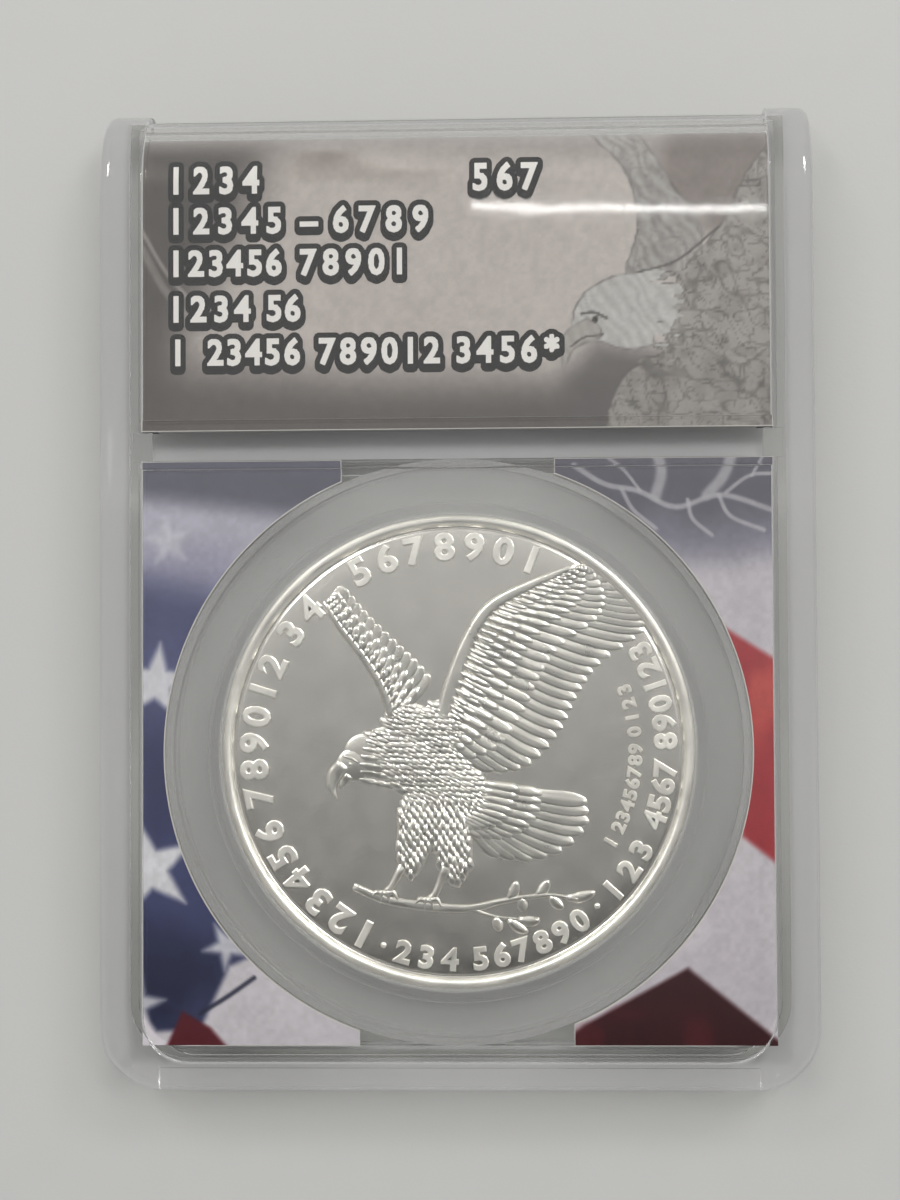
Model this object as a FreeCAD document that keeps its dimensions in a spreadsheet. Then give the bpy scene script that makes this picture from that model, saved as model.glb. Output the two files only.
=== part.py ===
"""Graded coin slab: a clear welded case that holds one silver coin and its label.

The slab lies on its back. X runs to the right, Y up the slab towards the label
and Z out of the front window. The origin is the middle of the underside of the
slab's box. All lengths are millimetres.

Driving sizes are the cells of the sheet "Sizes". Every sketch vertex, radius and
feature length is bound to them, so a changed cell moves all that fits to it.
"""
import FreeCAD, Part

import math
import os

import Sketcher

SHEET = "Sizes"
CELLS = (
    # alias, value, meaning
    ("slab_width", 60.6, "outside, left to right"),
    ("slab_height", 83.8, "outside, bottom edge to top edge"),
    ("slab_thickness", 8.5, "outside, back to front"),
    ("rail_width", 3.75, "raised rail at each side of the windows"),
    ("window_recess", 0.5, "window faces below the rails"),
    ("window_wall", 1.5, "plastic at the windows"),
    ("side_wall", 3.45, "slab side to the cavities"),
    ("low_corner_radius", 5.2, "plan corners at the bottom edge"),
    ("top_roll_radius", 7.0, "front face rolls over into the top edge"),
    ("edge_softness", 0.9, "round on the outer edges and the top corners"),
    ("rail_softness", 0.2, "round on the rails' and bands' inner edges"),
    ("bottom_wall", 3.55, "bottom edge to the coin cavity"),
    ("cavity_corner_radius", 3.8, "low corners of the coin cavity"),
    ("divider_width", 2.5, "rib between the coin and label cavities"),
    ("band_overlap", 0.9, "raised cross band past the rib, each way"),
    ("bottom_band", 2.4, "raised band below the coin window"),
    ("foot_width", 50.4, "stacking step in the bottom edge"),
    ("foot_height", 1.9, "stacking step, up from the bottom edge"),
    ("foot_depth", 0.75, "stacking step, below the rails"),
    ("tongue_offset", 0.4, "cavity to the weld tongue"),
    ("tongue_width", 0.7, "weld tongue across"),
    ("tongue_height", 0.6, "weld tongue above the parting plane"),
    ("key_width", 1.6, "weld key at each end of the rib, across"),
    ("key_length", 2.4, "weld key, along the slab"),
    ("key_height", 0.9, "weld key above the parting plane"),
    ("weld_gap", 0.05, "groove larger than tongue, each side"),
    ("fit_gap", 0.05, "between an insert and what holds it"),
    ("coin_diameter", 40.6, "one-ounce silver coin"),
    ("coin_thickness", 2.98, "over the rims"),
    ("coin_rim_width", 0.8, "raised rim"),
    ("coin_rim_height", 0.35, "rim above the field"),
    ("coin_rim_round", 0.3, "bevel outside the rim"),
    ("ring_width", 4.45, "coin ring, from the coin's edge to its outside"),
    ("ring_grip", 0.25, "lips over the coin's rim"),
    ("ring_lip_width", 0.85, "inner wall of the ring, outside the coin"),
    ("ring_rim_width", 0.6, "outer wall of the ring"),
    ("ring_web", 2.0, "web between the ring's two walls"),
    ("card_thickness", 0.3, "printed cards"),
    ("card_tip_far", 9.75, "long side of a picture card's end, from the middle"),
    ("card_tip_near", 8.35, "short side of a picture card's end, from the middle"),
    ("card_cut_gap", 0.15, "round cut of a picture card to the ring"),
    ("card_post_radius", 1.5, "post behind each corner of the picture cards"),
    ("card_post_inset", 3.4, "post to the two cavity walls"),
    ("label_ledge_width", 1.4, "ledge under each side of the label"),
    ("label_ledge_length", 18.5, "ledge up from the rib"),
    ("rear_card_height", 23.5, "rear label card, bottom to top"),
    ("rear_slot_depth", 0.5, "slot in each ledge for the rear card"),
    ("seal_width", 18.0, "foil seal"),
    ("seal_height", 10.0, "foil seal"),
    ("seal_corner_radius", 2.0, "foil seal"),
    ("foil_thickness", 0.1, "foil seal"),
)

doc = FreeCAD.newDocument("CoinSlab")
sheet = doc.addObject("Spreadsheet::Sheet", SHEET)
for row, (alias, value, meaning) in enumerate(CELLS, start=1):
    sheet.set(f"A{row}", meaning)
    sheet.set(f"B{row}", str(value))
    sheet.setAlias(f"B{row}", alias)
doc.recompute()


def cell(alias):
    """The expression that reads one cell of the sheet."""
    return f"{SHEET}.{alias}"


# Expressions that several pieces share. Each is worked out from the cells.
RIGHT = f"({cell('slab_width')} / 2)"
TOP = f"({cell('slab_height')} / 2)"
BOTTOM = f"(-{cell('slab_height')} / 2)"
FRONT = cell("slab_thickness")
PARTING = f"({cell('slab_thickness')} / 2)"
WINDOW_RIGHT = f"({RIGHT} - {cell('rail_width')})"
WINDOW_FRONT = f"({FRONT} - {cell('window_recess')})"
WINDOW_BACK = cell("window_recess")
CAVITY_RIGHT = f"({RIGHT} - {cell('side_wall')})"
CAVITY_FRONT = f"({WINDOW_FRONT} - {cell('window_wall')})"
CAVITY_BACK = f"({WINDOW_BACK} + {cell('window_wall')})"

RING_RADIUS = f"({cell('coin_diameter')} / 2 + {cell('ring_width')})"
RING_SPACE = f"({RING_RADIUS} + {cell('fit_gap')})"
COIN_CAVITY_LOW = f"({BOTTOM} + {cell('bottom_wall')})"
COIN_Y = f"({COIN_CAVITY_LOW} + {RING_SPACE})"
COIN_CAVITY_HIGH = f"({COIN_Y} + {RING_SPACE})"
LABEL_CAVITY_LOW = f"({COIN_CAVITY_HIGH} + {cell('divider_width')})"
BAND_LOW = f"({COIN_CAVITY_HIGH} - {cell('band_overlap')})"
BAND_HIGH = f"({LABEL_CAVITY_LOW} + {cell('band_overlap')})"
COIN_WINDOW_LOW = f"({BOTTOM} + {cell('bottom_band')})"

ROLL_Y = f"({TOP} - {cell('top_roll_radius')})"
ROLL_Z = f"({FRONT} - {cell('top_roll_radius')})"
OUTER_ROLL = cell("top_roll_radius")
WINDOW_ROLL = f"({OUTER_ROLL} - {cell('window_recess')})"
CAVITY_ROLL = f"({WINDOW_ROLL} - {cell('window_wall')})"
LABEL_ROLL = f"({CAVITY_ROLL} - {cell('fit_gap')})"
LABEL_INNER_ROLL = f"({LABEL_ROLL} - {cell('card_thickness')})"

CARD_FRONT = f"({CAVITY_FRONT} - {cell('fit_gap')})"
CARD_BACK = f"({CARD_FRONT} - {cell('card_thickness')})"
CARD_RIGHT = f"({CAVITY_RIGHT} - {cell('fit_gap')})"
CARD_REST = f"({CARD_BACK} - {cell('fit_gap')})"
SEAL_BACK = f"({CAVITY_BACK} + {cell('fit_gap')})"
REAR_CARD_BACK = f"({SEAL_BACK} + {cell('foil_thickness')})"
LEDGE_RIGHT = f"({CAVITY_RIGHT} - {cell('label_ledge_width')})"
SLOT_RIGHT = f"({LEDGE_RIGHT} + {cell('rear_slot_depth')})"

OVERCUT = "1"  # a cut runs this far past the face that it opens
LEFT_TURN = 1
RIGHT_TURN = -1


def size(expression):
    """The number that an expression gives now."""
    return float(sheet.evalExpression(expression))


def roll_reach(radius, height):
    """Y of a roll of this radius at this height: the circle about (ROLL_Y, ROLL_Z)."""
    return f"({ROLL_Y} + sqrt({radius} ^ 2 - ({height} - {ROLL_Z}) ^ 2))"


def mirrored(expression):
    """The same distance on the other side of the middle."""
    return f"(-{expression})"


def new_body(label, y=None, z=None):
    """An empty body, moved to the place that the expressions give."""
    body = doc.addObject("PartDesign::Body", label)
    body.Label = label
    for axis, expression in (("y", y), ("z", z)):
        if expression is not None:
            body.setExpression(f"Placement.Base.{axis}", expression)
    return body


def new_sketch(body, name, plane, lift=None):
    """A sketch on one of the body's own origin planes, lifted along its normal."""
    sketch = body.newObject("Sketcher::SketchObject", name)
    support = next(f for f in body.Origin.OriginFeatures if f.Role == plane)
    sketch.AttachmentSupport = (support, [""])
    sketch.MapMode = "FlatFace"
    if lift is not None:
        sketch.setExpression("AttachmentOffset.Base.z", lift)
    return sketch


def minor_arc(start, end, radius, turn):
    """The arc under half a turn from start to end, and its end numbers in path order."""
    chord = end - start
    offset = math.sqrt(radius**2 - (chord.Length / 2) ** 2)
    left = FreeCAD.Vector(-chord.y, chord.x, 0).normalize()
    centre = (start + end) * 0.5 + left * offset * turn
    first, last = (start, end) if turn == LEFT_TURN else (end, start)
    angles = [math.atan2(p.y - centre.y, p.x - centre.x) for p in (first, last)]
    if angles[1] < angles[0]:
        angles[1] += 2 * math.pi
    circle = Part.Circle(centre, FreeCAD.Vector(0, 0, 1), radius)
    ends = (1, 2) if turn == LEFT_TURN else (2, 1)
    return Part.ArcOfCircle(circle, *angles), ends


def draw(sketch, name, corners):
    """Draws a closed outline whose corners and radii are bound to expressions.

    Each corner is (x, y) for a straight line to the next one, or
    (x, y, radius, turn) for an arc to the next one.
    """
    places = [FreeCAD.Vector(size(c[0]), size(c[1]), 0) for c in corners]
    edges = []
    for index, corner in enumerate(corners):
        start, end = places[index], places[(index + 1) % len(places)]
        if len(corner) == 2:
            shape, ends = Part.LineSegment(start, end), (1, 2)
        else:
            shape, ends = minor_arc(start, end, size(corner[2]), corner[3])
        edges.append((sketch.addGeometry(shape, False), ends))
    for index, corner in enumerate(corners):
        edge, ends = edges[index]
        next_edge, next_ends = edges[(index + 1) % len(edges)]
        joint = Sketcher.Constraint("Coincident", edge, ends[1], next_edge, next_ends[0])
        sketch.addConstraint(joint)
        for kind, text in (("DistanceX", corner[0]), ("DistanceY", corner[1])):
            bind(sketch, f"{name}_{kind}_{index}", (kind, edge, ends[0]), text)
        if len(corner) == 4:
            bind(sketch, f"{name}_Bend_{index}", ("Radius", edge), corner[2])
    return sketch


def bind(sketch, name, constraint, expression):
    """Adds one named dimension to a sketch and ties it to an expression."""
    index = sketch.addConstraint(Sketcher.Constraint(*constraint, size(expression)))
    sketch.renameConstraint(index, name)
    sketch.setExpression(f"Constraints.{name}", expression)


def box_corners(left, right, low, high):
    """A plain rectangle, anticlockwise from its low left corner."""
    return [(left, low), (right, low), (right, high), (left, high)]


def round_box(left, right, low, high, low_radius, high_radius=None):
    """A rectangle with rounded low corners and, if given, rounded high corners."""
    low_side = f"({low} + {low_radius})"
    corners = [
        (f"({left} + {low_radius})", low),
        (f"({right} - {low_radius})", low, low_radius, LEFT_TURN),
        (right, low_side),
    ]
    if high_radius is None:
        corners += [(right, high), (left, high)]
    else:
        high_side = f"({high} - {high_radius})"
        corners += [
            (right, high_side, high_radius, LEFT_TURN),
            (f"({right} - {high_radius})", high),
            (f"({left} + {high_radius})", high, high_radius, LEFT_TURN),
            (left, high_side),
        ]
    return corners + [(left, low_side, low_radius, LEFT_TURN)]


def extrude(body, kind, name, sketch, length, symmetric=False, reverse=False):
    """A Pad or a Pocket, checked to have added or removed material."""
    before = body.Tip.Shape.Volume if body.Tip and body.Tip.isDerivedFrom("PartDesign::Feature") else 0
    feature = body.newObject(f"PartDesign::{kind}", name)
    feature.Profile = sketch
    feature.SideType = "Symmetric" if symmetric else "One side"
    feature.Reversed = reverse
    feature.setExpression("Length", length)
    doc.recompute()
    change = feature.Shape.Volume - before
    if (change > 0) != (kind == "Pad") or abs(change) < 1e-6:
        raise RuntimeError(f"{body.Label}.{name} changed the volume by {change:.4f}")
    sketch.Visibility = False
    return feature


def pad(body, name, sketch, length, **options):
    """Adds the sketch's outline, pulled along its normal."""
    return extrude(body, "Pad", name, sketch, length, **options)


def pocket(body, name, sketch, length, **options):
    """Cuts the sketch's outline, against its normal unless reversed."""
    return extrude(body, "Pocket", name, sketch, length, **options)


def revolve(body, name, sketch):
    """Turns the outline once round the sketch's own vertical axis."""
    feature = body.newObject("PartDesign::Revolution", name)
    feature.Profile = sketch
    feature.ReferenceAxis = (sketch, ["V_Axis"])
    feature.Angle = 360
    doc.recompute()
    return feature


def fillet(body, name, radius, wanted):
    """Rounds the edges of the body's last feature for which wanted(edge) is true."""
    base = body.Tip
    names = [f"Edge{i}" for i, edge in enumerate(base.Shape.Edges, 1) if wanted(edge)]
    if not names:
        raise RuntimeError(f"{body.Label}.{name} found no edge to round")
    feature = body.newObject("PartDesign::Fillet", name)
    feature.Base = (base, names)
    feature.setExpression("Radius", radius)
    doc.recompute()
    return feature


def is_near(value, target):
    """True within a thousandth of a millimetre."""
    return abs(value - target) < 1e-3


def upright_at(y):
    """Picks the two outer edges that stand along Z at this Y."""
    side = size(RIGHT)

    def wanted(edge):
        box = edge.BoundBox
        at_side = is_near(abs(box.Center.x), side) and box.XLength < 1e-3
        return at_side and box.ZLength > 1e-3 and is_near(box.YMin, y) and box.YLength < 1e-3

    return wanted


def outer_rim(back):
    """Picks the outer edges of the front or the back face, and the back's top corners."""
    side, low, high = size(RIGHT), size(BOTTOM), size(TOP)
    face = 0 if back else size(FRONT)
    corner = size(cell("low_corner_radius")) + 1e-3

    def wanted(edge):
        box = edge.BoundBox
        flat = is_near(box.ZMin, face) and is_near(box.ZMax, face)
        at_side = is_near(max(abs(box.XMin), abs(box.XMax)), side)
        on_side = at_side and box.XLength < 1e-3
        on_low_corner = at_side and max(box.XLength, box.YLength) < corner
        on_bottom = is_near(box.YMin, low)
        on_top = back and is_near(box.YMin, high)
        on_top_corner = back and on_side and is_near(box.YMax, high) and not flat
        return flat and (on_side or on_low_corner or on_bottom or on_top) or on_top_corner

    return wanted


def shell_outline(body, back):
    """Side view of one half of the case, pulled across the slab's width."""
    sketch = new_sketch(body, "SideView", "YZ_Plane")
    reach = roll_reach(OUTER_ROLL, PARTING)
    if back:
        corners = [
            (BOTTOM, "0"),
            (TOP, "0"),
            (TOP, ROLL_Z, OUTER_ROLL, LEFT_TURN),
            (reach, PARTING),
            (BOTTOM, PARTING),
        ]
    else:
        corners = [
            (BOTTOM, PARTING),
            (reach, PARTING, OUTER_ROLL, LEFT_TURN),
            (ROLL_Y, FRONT),
            (BOTTOM, FRONT),
        ]
    draw(sketch, "Side", corners)
    pad(body, "Block", sketch, cell("slab_width"), symmetric=True)
    fillet(body, "LowCorners", cell("low_corner_radius"), upright_at(size(BOTTOM)))


def ring_outline(sketch, name, grow):
    """The weld joint's path round both cavities, as wide as the tongue plus grow each side."""
    inner = f"({cell('tongue_offset')} - {grow})"
    outer = f"({cell('tongue_offset')} + {cell('tongue_width')} + {grow})"
    high = roll_reach(CAVITY_ROLL, PARTING)
    for label, offset in (("Inner", inner), ("Outer", outer)):
        right = f"({CAVITY_RIGHT} + {offset})"
        low = f"({COIN_CAVITY_LOW} - {offset})"
        radius = f"({cell('cavity_corner_radius')} + {offset})"
        corners = round_box(mirrored(right), right, low, f"({high} + {offset})", radius)
        draw(sketch, f"{name}{label}", corners)
    return sketch


def window_recesses(body, back):
    """Sinks the coin window and the label window below the rails and the bands."""
    face = "0" if back else FRONT
    window = WINDOW_BACK if back else WINDOW_FRONT
    past = f"({face} - {OVERCUT})" if back else f"({face} + {OVERCUT})"
    beyond = f"({TOP} + {OVERCUT})"
    reach = roll_reach(WINDOW_ROLL, PARTING)
    label = new_sketch(body, "LabelWindow", "YZ_Plane")
    if back:
        corners = [
            (BAND_HIGH, past),
            (beyond, past),
            (beyond, PARTING),
            (reach, PARTING, WINDOW_ROLL, RIGHT_TURN),
            (f"({TOP} - {cell('window_recess')})", ROLL_Z),
            (f"({TOP} - {cell('window_recess')})", window),
            (BAND_HIGH, window),
        ]
    else:
        corners = [
            (BAND_HIGH, window),
            (ROLL_Y, window, WINDOW_ROLL, RIGHT_TURN),
            (reach, PARTING),
            (beyond, PARTING),
            (beyond, past),
            (BAND_HIGH, past),
        ]
    draw(label, "Label", corners)
    pocket(body, "LabelRecess", label, f"{WINDOW_RIGHT} * 2", symmetric=True)
    coin = new_sketch(body, "CoinWindow", "XY_Plane", face)
    radius = cell("cavity_corner_radius")
    shape = round_box(mirrored(WINDOW_RIGHT), WINDOW_RIGHT, COIN_WINDOW_LOW, BAND_LOW, radius)
    draw(coin, "Coin", shape)
    pocket(body, "CoinRecess", coin, cell("window_recess"), reverse=back)


def cavities(body, back):
    """Hollows out the coin cavity and the label cavity, up to the parting plane."""
    inner = CAVITY_BACK if back else CAVITY_FRONT
    depth = f"({PARTING} - {inner})" if back else f"({inner} - {PARTING})"
    coin = new_sketch(body, "CoinCavity", "XY_Plane", PARTING)
    radius = cell("cavity_corner_radius")
    shape = round_box(mirrored(CAVITY_RIGHT), CAVITY_RIGHT, COIN_CAVITY_LOW, COIN_CAVITY_HIGH, radius)
    draw(coin, "Coin", shape)
    pocket(body, "CoinHollow", coin, depth, reverse=not back)
    label = new_sketch(body, "LabelCavity", "YZ_Plane")
    reach = roll_reach(CAVITY_ROLL, PARTING)
    if back:
        corners = [
            (LABEL_CAVITY_LOW, inner),
            (roll_reach(CAVITY_ROLL, inner), inner, CAVITY_ROLL, LEFT_TURN),
            (reach, PARTING),
            (LABEL_CAVITY_LOW, PARTING),
        ]
    else:
        corners = [
            (LABEL_CAVITY_LOW, PARTING),
            (reach, PARTING, CAVITY_ROLL, LEFT_TURN),
            (ROLL_Y, inner),
            (LABEL_CAVITY_LOW, inner),
        ]
    draw(label, "Label", corners)
    pocket(body, "LabelHollow", label, f"{CAVITY_RIGHT} * 2", symmetric=True)


def stacking_step(body, back):
    """Steps the middle of the bottom edge back, where the next slab's rails nest."""
    face = "0" if back else FRONT
    half = f"({cell('foot_width')} / 2)"
    low, high = f"({BOTTOM} - {OVERCUT})", f"({BOTTOM} + {cell('foot_height')})"
    sketch = new_sketch(body, "StackingStep", "XY_Plane", face)
    draw(sketch, "Step", box_corners(mirrored(half), half, low, high))
    pocket(body, "StackingCut", sketch, cell("foot_depth"), reverse=back)


def rail_edges(back):
    """Picks the inner edges of the rails and bands, where the face steps to a window."""
    face = 0 if back else size(FRONT)
    window = size(WINDOW_RIGHT)
    bands = [size(e) for e in (BAND_LOW, BAND_HIGH, COIN_WINDOW_LOW)]
    tight = size(cell("cavity_corner_radius")) + 1e-3

    def wanted(edge):
        box = edge.BoundBox
        flat = is_near(box.ZMin, face) and is_near(box.ZMax, face)
        at_window = is_near(max(abs(box.XMin), abs(box.XMax)), window)
        on_rail = at_window and box.XLength < 1e-3
        on_band = box.YLength < 1e-3 and any(is_near(box.YMin, y) for y in bands)
        on_corner = at_window and max(box.XLength, box.YLength) < tight
        return flat and (on_rail or on_band or on_corner)

    return wanted


def end_keys(body, name, grow):
    """Two small keys that lock the ends of the rib, as large as the cells plus grow each side."""
    middle = f"(({COIN_CAVITY_HIGH} + {LABEL_CAVITY_LOW}) / 2)"
    half_width = f"({cell('key_width')} / 2 + {grow})"
    half_length = f"({cell('key_length')} / 2 + {grow})"
    low, high = f"({middle} - {half_length})", f"({middle} + {half_length})"
    inner, outer = f"({CAVITY_RIGHT} - {half_width})", f"({CAVITY_RIGHT} + {half_width})"
    sketch = new_sketch(body, name, "XY_Plane", PARTING)
    draw(sketch, "Right", box_corners(inner, outer, low, high))
    draw(sketch, "Left", box_corners(mirrored(outer), mirrored(inner), low, high))
    return sketch


def build_front_shell():
    """Front half: windows over the coin and the label, and the groove of the weld."""
    body = new_body("front_shell")
    shell_outline(body, back=False)
    fillet(body, "OuterEdge", cell("edge_softness"), outer_rim(back=False))
    window_recesses(body, back=False)
    fillet(body, "RailEdge", cell("rail_softness"), rail_edges(back=False))
    stacking_step(body, back=False)
    cavities(body, back=False)
    groove = new_sketch(body, "WeldGroove", "XY_Plane", PARTING)
    ring_outline(groove, "Groove", cell("weld_gap"))
    depth = f"({cell('tongue_height')} + {cell('weld_gap')})"
    pocket(body, "WeldCut", groove, depth, reverse=True)
    keys = end_keys(body, "KeySlots", cell("weld_gap"))
    depth = f"({cell('key_height')} + {cell('weld_gap')})"
    pocket(body, "KeyCut", keys, depth, reverse=True)
    return body


def build_back_shell():
    """Back half: window, posts behind the picture cards, label ledges and weld tongue."""
    body = new_body("back_shell")
    shell_outline(body, back=True)
    fillet(body, "OuterEdge", cell("edge_softness"), outer_rim(back=True))
    window_recesses(body, back=True)
    fillet(body, "RailEdge", cell("rail_softness"), rail_edges(back=True))
    stacking_step(body, back=True)
    cavities(body, back=True)
    tongue = new_sketch(body, "WeldTongue", "XY_Plane", PARTING)
    ring_outline(tongue, "Tongue", "0")
    pad(body, "WeldPad", tongue, cell("tongue_height"))
    pad(body, "KeyPad", end_keys(body, "Keys", "0"), cell("key_height"))
    card_posts(body)
    label_ledges(body)
    return body


def card_posts(body):
    """Four posts that hold the picture cards up against the front window."""
    inset = cell("card_post_inset")
    across = f"({CAVITY_RIGHT} - {inset})"
    posts = new_sketch(body, "CardPosts", "XY_Plane", CAVITY_BACK)
    centre = 3
    for low, y in enumerate((f"({COIN_CAVITY_HIGH} - {inset})", f"({COIN_CAVITY_LOW} + {inset})")):
        for left, x in enumerate((across, mirrored(across))):
            middle = FreeCAD.Vector(size(x), size(y), 0)
            circle = Part.Circle(middle, FreeCAD.Vector(0, 0, 1), size(cell("card_post_radius")))
            post = posts.addGeometry(circle, False)
            name = f"Post{low}{left}"
            bind(posts, f"{name}_DistanceX", ("DistanceX", post, centre), x)
            bind(posts, f"{name}_DistanceY", ("DistanceY", post, centre), y)
            bind(posts, f"{name}_Radius", ("Radius", post), cell("card_post_radius"))
    pad(body, "CardPostPad", posts, f"{CARD_REST} - {CAVITY_BACK}")


def label_ledges(body):
    """A ledge at each side under the label, with a slot for the rear card."""
    high = f"({LABEL_CAVITY_LOW} + {cell('label_ledge_length')})"
    ledges = new_sketch(body, "LabelLedges", "XY_Plane", CAVITY_BACK)
    wall = f"({CAVITY_RIGHT} - {cell('fit_gap')})"
    draw(ledges, "Right", box_corners(LEDGE_RIGHT, wall, LABEL_CAVITY_LOW, high))
    draw(ledges, "Left", box_corners(mirrored(wall), mirrored(LEDGE_RIGHT), LABEL_CAVITY_LOW, high))
    pad(body, "LedgePad", ledges, f"{CARD_REST} - {CAVITY_BACK}")
    slot = new_sketch(body, "RearCardSlot", "XY_Plane", CAVITY_BACK)
    right = f"({SLOT_RIGHT} + {cell('fit_gap')})"
    beyond = f"({high} + {OVERCUT})"
    draw(slot, "Slot", box_corners(mirrored(right), right, LABEL_CAVITY_LOW, beyond))
    depth = f"({REAR_CARD_BACK} + {cell('card_thickness')} + {cell('fit_gap')} - {CAVITY_BACK})"
    pocket(body, "SlotCut", slot, depth, reverse=True)


def build_coin():
    """Silver coin: flat fields inside a raised rim, bevelled outside."""
    body = new_body("coin", y=COIN_Y, z=PARTING)
    rim_top = f"({cell('coin_thickness')} / 2)"
    field = f"({rim_top} - {cell('coin_rim_height')})"
    edge = f"({cell('coin_diameter')} / 2)"
    bevel = cell("coin_rim_round")
    rim_edge = f"({edge} - {bevel})"
    rim_inside = f"({rim_edge} - {cell('coin_rim_width')})"
    field_edge = f"({rim_inside} - {cell('coin_rim_height')})"
    half = [
        (field_edge, field),
        (rim_inside, rim_top),
        (rim_edge, rim_top),
        (edge, f"({rim_top} - {bevel})"),
    ]
    underside = [(x, mirrored(y)) for x, y in half]
    corners = [("0", mirrored(field)), *underside, *reversed(half), ("0", field)]
    sketch = draw(new_sketch(body, "Section", "XZ_Plane"), "Section", corners)
    revolve(body, "Struck", sketch)
    return body


def build_coin_ring():
    """Clear ring that grips the coin's edge and fills the cavity from wall to wall."""
    body = new_body("coin_ring", y=COIN_Y, z=PARTING)
    gap = cell("fit_gap")
    high = f"({CAVITY_FRONT} - {PARTING} - {gap})"
    coin_edge = f"({cell('coin_diameter')} / 2)"
    groove_radius = f"({coin_edge} + {gap})"
    groove_high = f"({cell('coin_thickness')} / 2 + {gap})"
    mouth = f"({coin_edge} - {cell('ring_grip')})"
    lip_outside = f"({groove_radius} + {cell('ring_lip_width')})"
    web = f"({cell('ring_web')} / 2)"
    rim_inside = f"({RING_RADIUS} - {cell('ring_rim_width')})"
    upper = [
        (groove_radius, groove_high),
        (mouth, groove_high),
        (mouth, high),
        (lip_outside, high),
        (lip_outside, web),
        (rim_inside, web),
        (rim_inside, high),
        (RING_RADIUS, high),
    ]
    lower = [(x, mirrored(y)) for x, y in reversed(upper)]
    sketch = draw(new_sketch(body, "Section", "XZ_Plane"), "Section", upper + lower)
    revolve(body, "Moulded", sketch)
    return body


def build_picture_card(label, side):
    """Die-cut card in the coin window, cut round the coin ring. side is 1 or -1."""
    body = new_body(label, y=COIN_Y, z=CARD_BACK)
    cut = f"({RING_RADIUS} + {cell('card_cut_gap')})"
    high = f"({RING_SPACE} - {cell('fit_gap')})"
    low = mirrored(high)
    corner = f"({cell('cavity_corner_radius')} - {cell('fit_gap')})"
    near, far = cell("card_tip_near"), cell("card_tip_far")
    tip_high, tip_low = (near, far) if side > 0 else (far, near)
    circle_high = f"sqrt({cut} ^ 2 - {tip_high} ^ 2)"
    circle_low = f"(-sqrt({cut} ^ 2 - {tip_low} ^ 2))"

    def at(x):
        return x if side > 0 else mirrored(x)

    corners = [
        (at(CARD_RIGHT), high),
        (at(tip_high), high),
        (at(tip_high), circle_high, cut, RIGHT_TURN * side),
        (at(tip_low), circle_low),
        (at(tip_low), low),
        (at(f"({CARD_RIGHT} - {corner})"), low, corner, LEFT_TURN * side),
        (at(CARD_RIGHT), f"({low} + {corner})"),
    ]
    sketch = draw(new_sketch(body, "Cut", "XY_Plane"), "Cut", corners)
    pad(body, "Card", sketch, cell("card_thickness"))
    return body


def build_label_card():
    """Front label: flat behind its window, then bent over the top of the slab."""
    body = new_body("label_card")
    low = f"({LABEL_CAVITY_LOW} + {cell('fit_gap')})"
    foot = f"({CAVITY_BACK} + {cell('fit_gap')})"
    corners = [
        (low, CARD_BACK),
        (ROLL_Y, CARD_BACK, LABEL_INNER_ROLL, RIGHT_TURN),
        (roll_reach(LABEL_INNER_ROLL, foot), foot),
        (roll_reach(LABEL_ROLL, foot), foot, LABEL_ROLL, LEFT_TURN),
        (ROLL_Y, CARD_FRONT),
        (low, CARD_FRONT),
    ]
    sketch = draw(new_sketch(body, "SideView", "YZ_Plane"), "Side", corners)
    pad(body, "Card", sketch, f"{CARD_RIGHT} * 2", symmetric=True)
    return body


def build_rear_card():
    """Rear label card, held in the slots of the two ledges."""
    body = new_body("rear_label_card")
    low = f"({LABEL_CAVITY_LOW} + {cell('fit_gap')})"
    high = f"({low} + {cell('rear_card_height')})"
    right = SLOT_RIGHT
    sketch = new_sketch(body, "Outline", "XY_Plane", REAR_CARD_BACK)
    draw(sketch, "Card", box_corners(mirrored(right), right, low, high))
    pad(body, "Card", sketch, cell("card_thickness"))
    return body


def build_seal():
    """Foil seal on the rear card, seen through the back window."""
    body = new_body("security_seal")
    half = f"({cell('seal_width')} / 2)"
    middle = f"({LABEL_CAVITY_LOW} + {cell('fit_gap')} + {cell('rear_card_height')} / 2)"
    low = f"({middle} - {cell('seal_height')} / 2)"
    high = f"({middle} + {cell('seal_height')} / 2)"
    radius = cell("seal_corner_radius")
    sketch = new_sketch(body, "Outline", "XY_Plane", SEAL_BACK)
    draw(sketch, "Seal", round_box(mirrored(half), half, low, high, radius, radius))
    pad(body, "Foil", sketch, cell("foil_thickness"))
    return body


def check_and_write(bodies):
    """Stops on any failed object or shape, then writes one STEP file for each piece."""
    doc.recompute()
    failed = [o.Name for o in doc.Objects if {"Invalid", "Error"} & set(o.State)]
    if failed:
        raise RuntimeError(f"failed objects: {failed}")
    for body in bodies:
        if body.Shape.isNull() or not body.Shape.isValid() or len(body.Shape.Solids) != 1:
            raise RuntimeError(f"{body.Label} isn't one valid solid")
    os.makedirs("parts", exist_ok=True)
    for body in bodies:
        body.Shape.exportStep(f"parts/{body.Label}.step")
        box = body.Shape.BoundBox
        print(
            f"{body.Label:20s} {body.Shape.Volume:9.1f} mm3  x {box.XMin:.2f}..{box.XMax:.2f}"
            f"  y {box.YMin:.2f}..{box.YMax:.2f}  z {box.ZMin:.2f}..{box.ZMax:.2f}"
        )


check_and_write(
    [
        build_front_shell(),
        build_back_shell(),
        build_coin_ring(),
        build_coin(),
        build_label_card(),
        build_rear_card(),
        build_picture_card("left_picture_card", -1),
        build_picture_card("right_picture_card", 1),
        build_seal(),
    ]
)
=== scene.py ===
import logging
import math
from dataclasses import dataclass, field
from enum import Enum

import bpy
import numpy as np
from mathutils import Matrix, Vector


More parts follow.
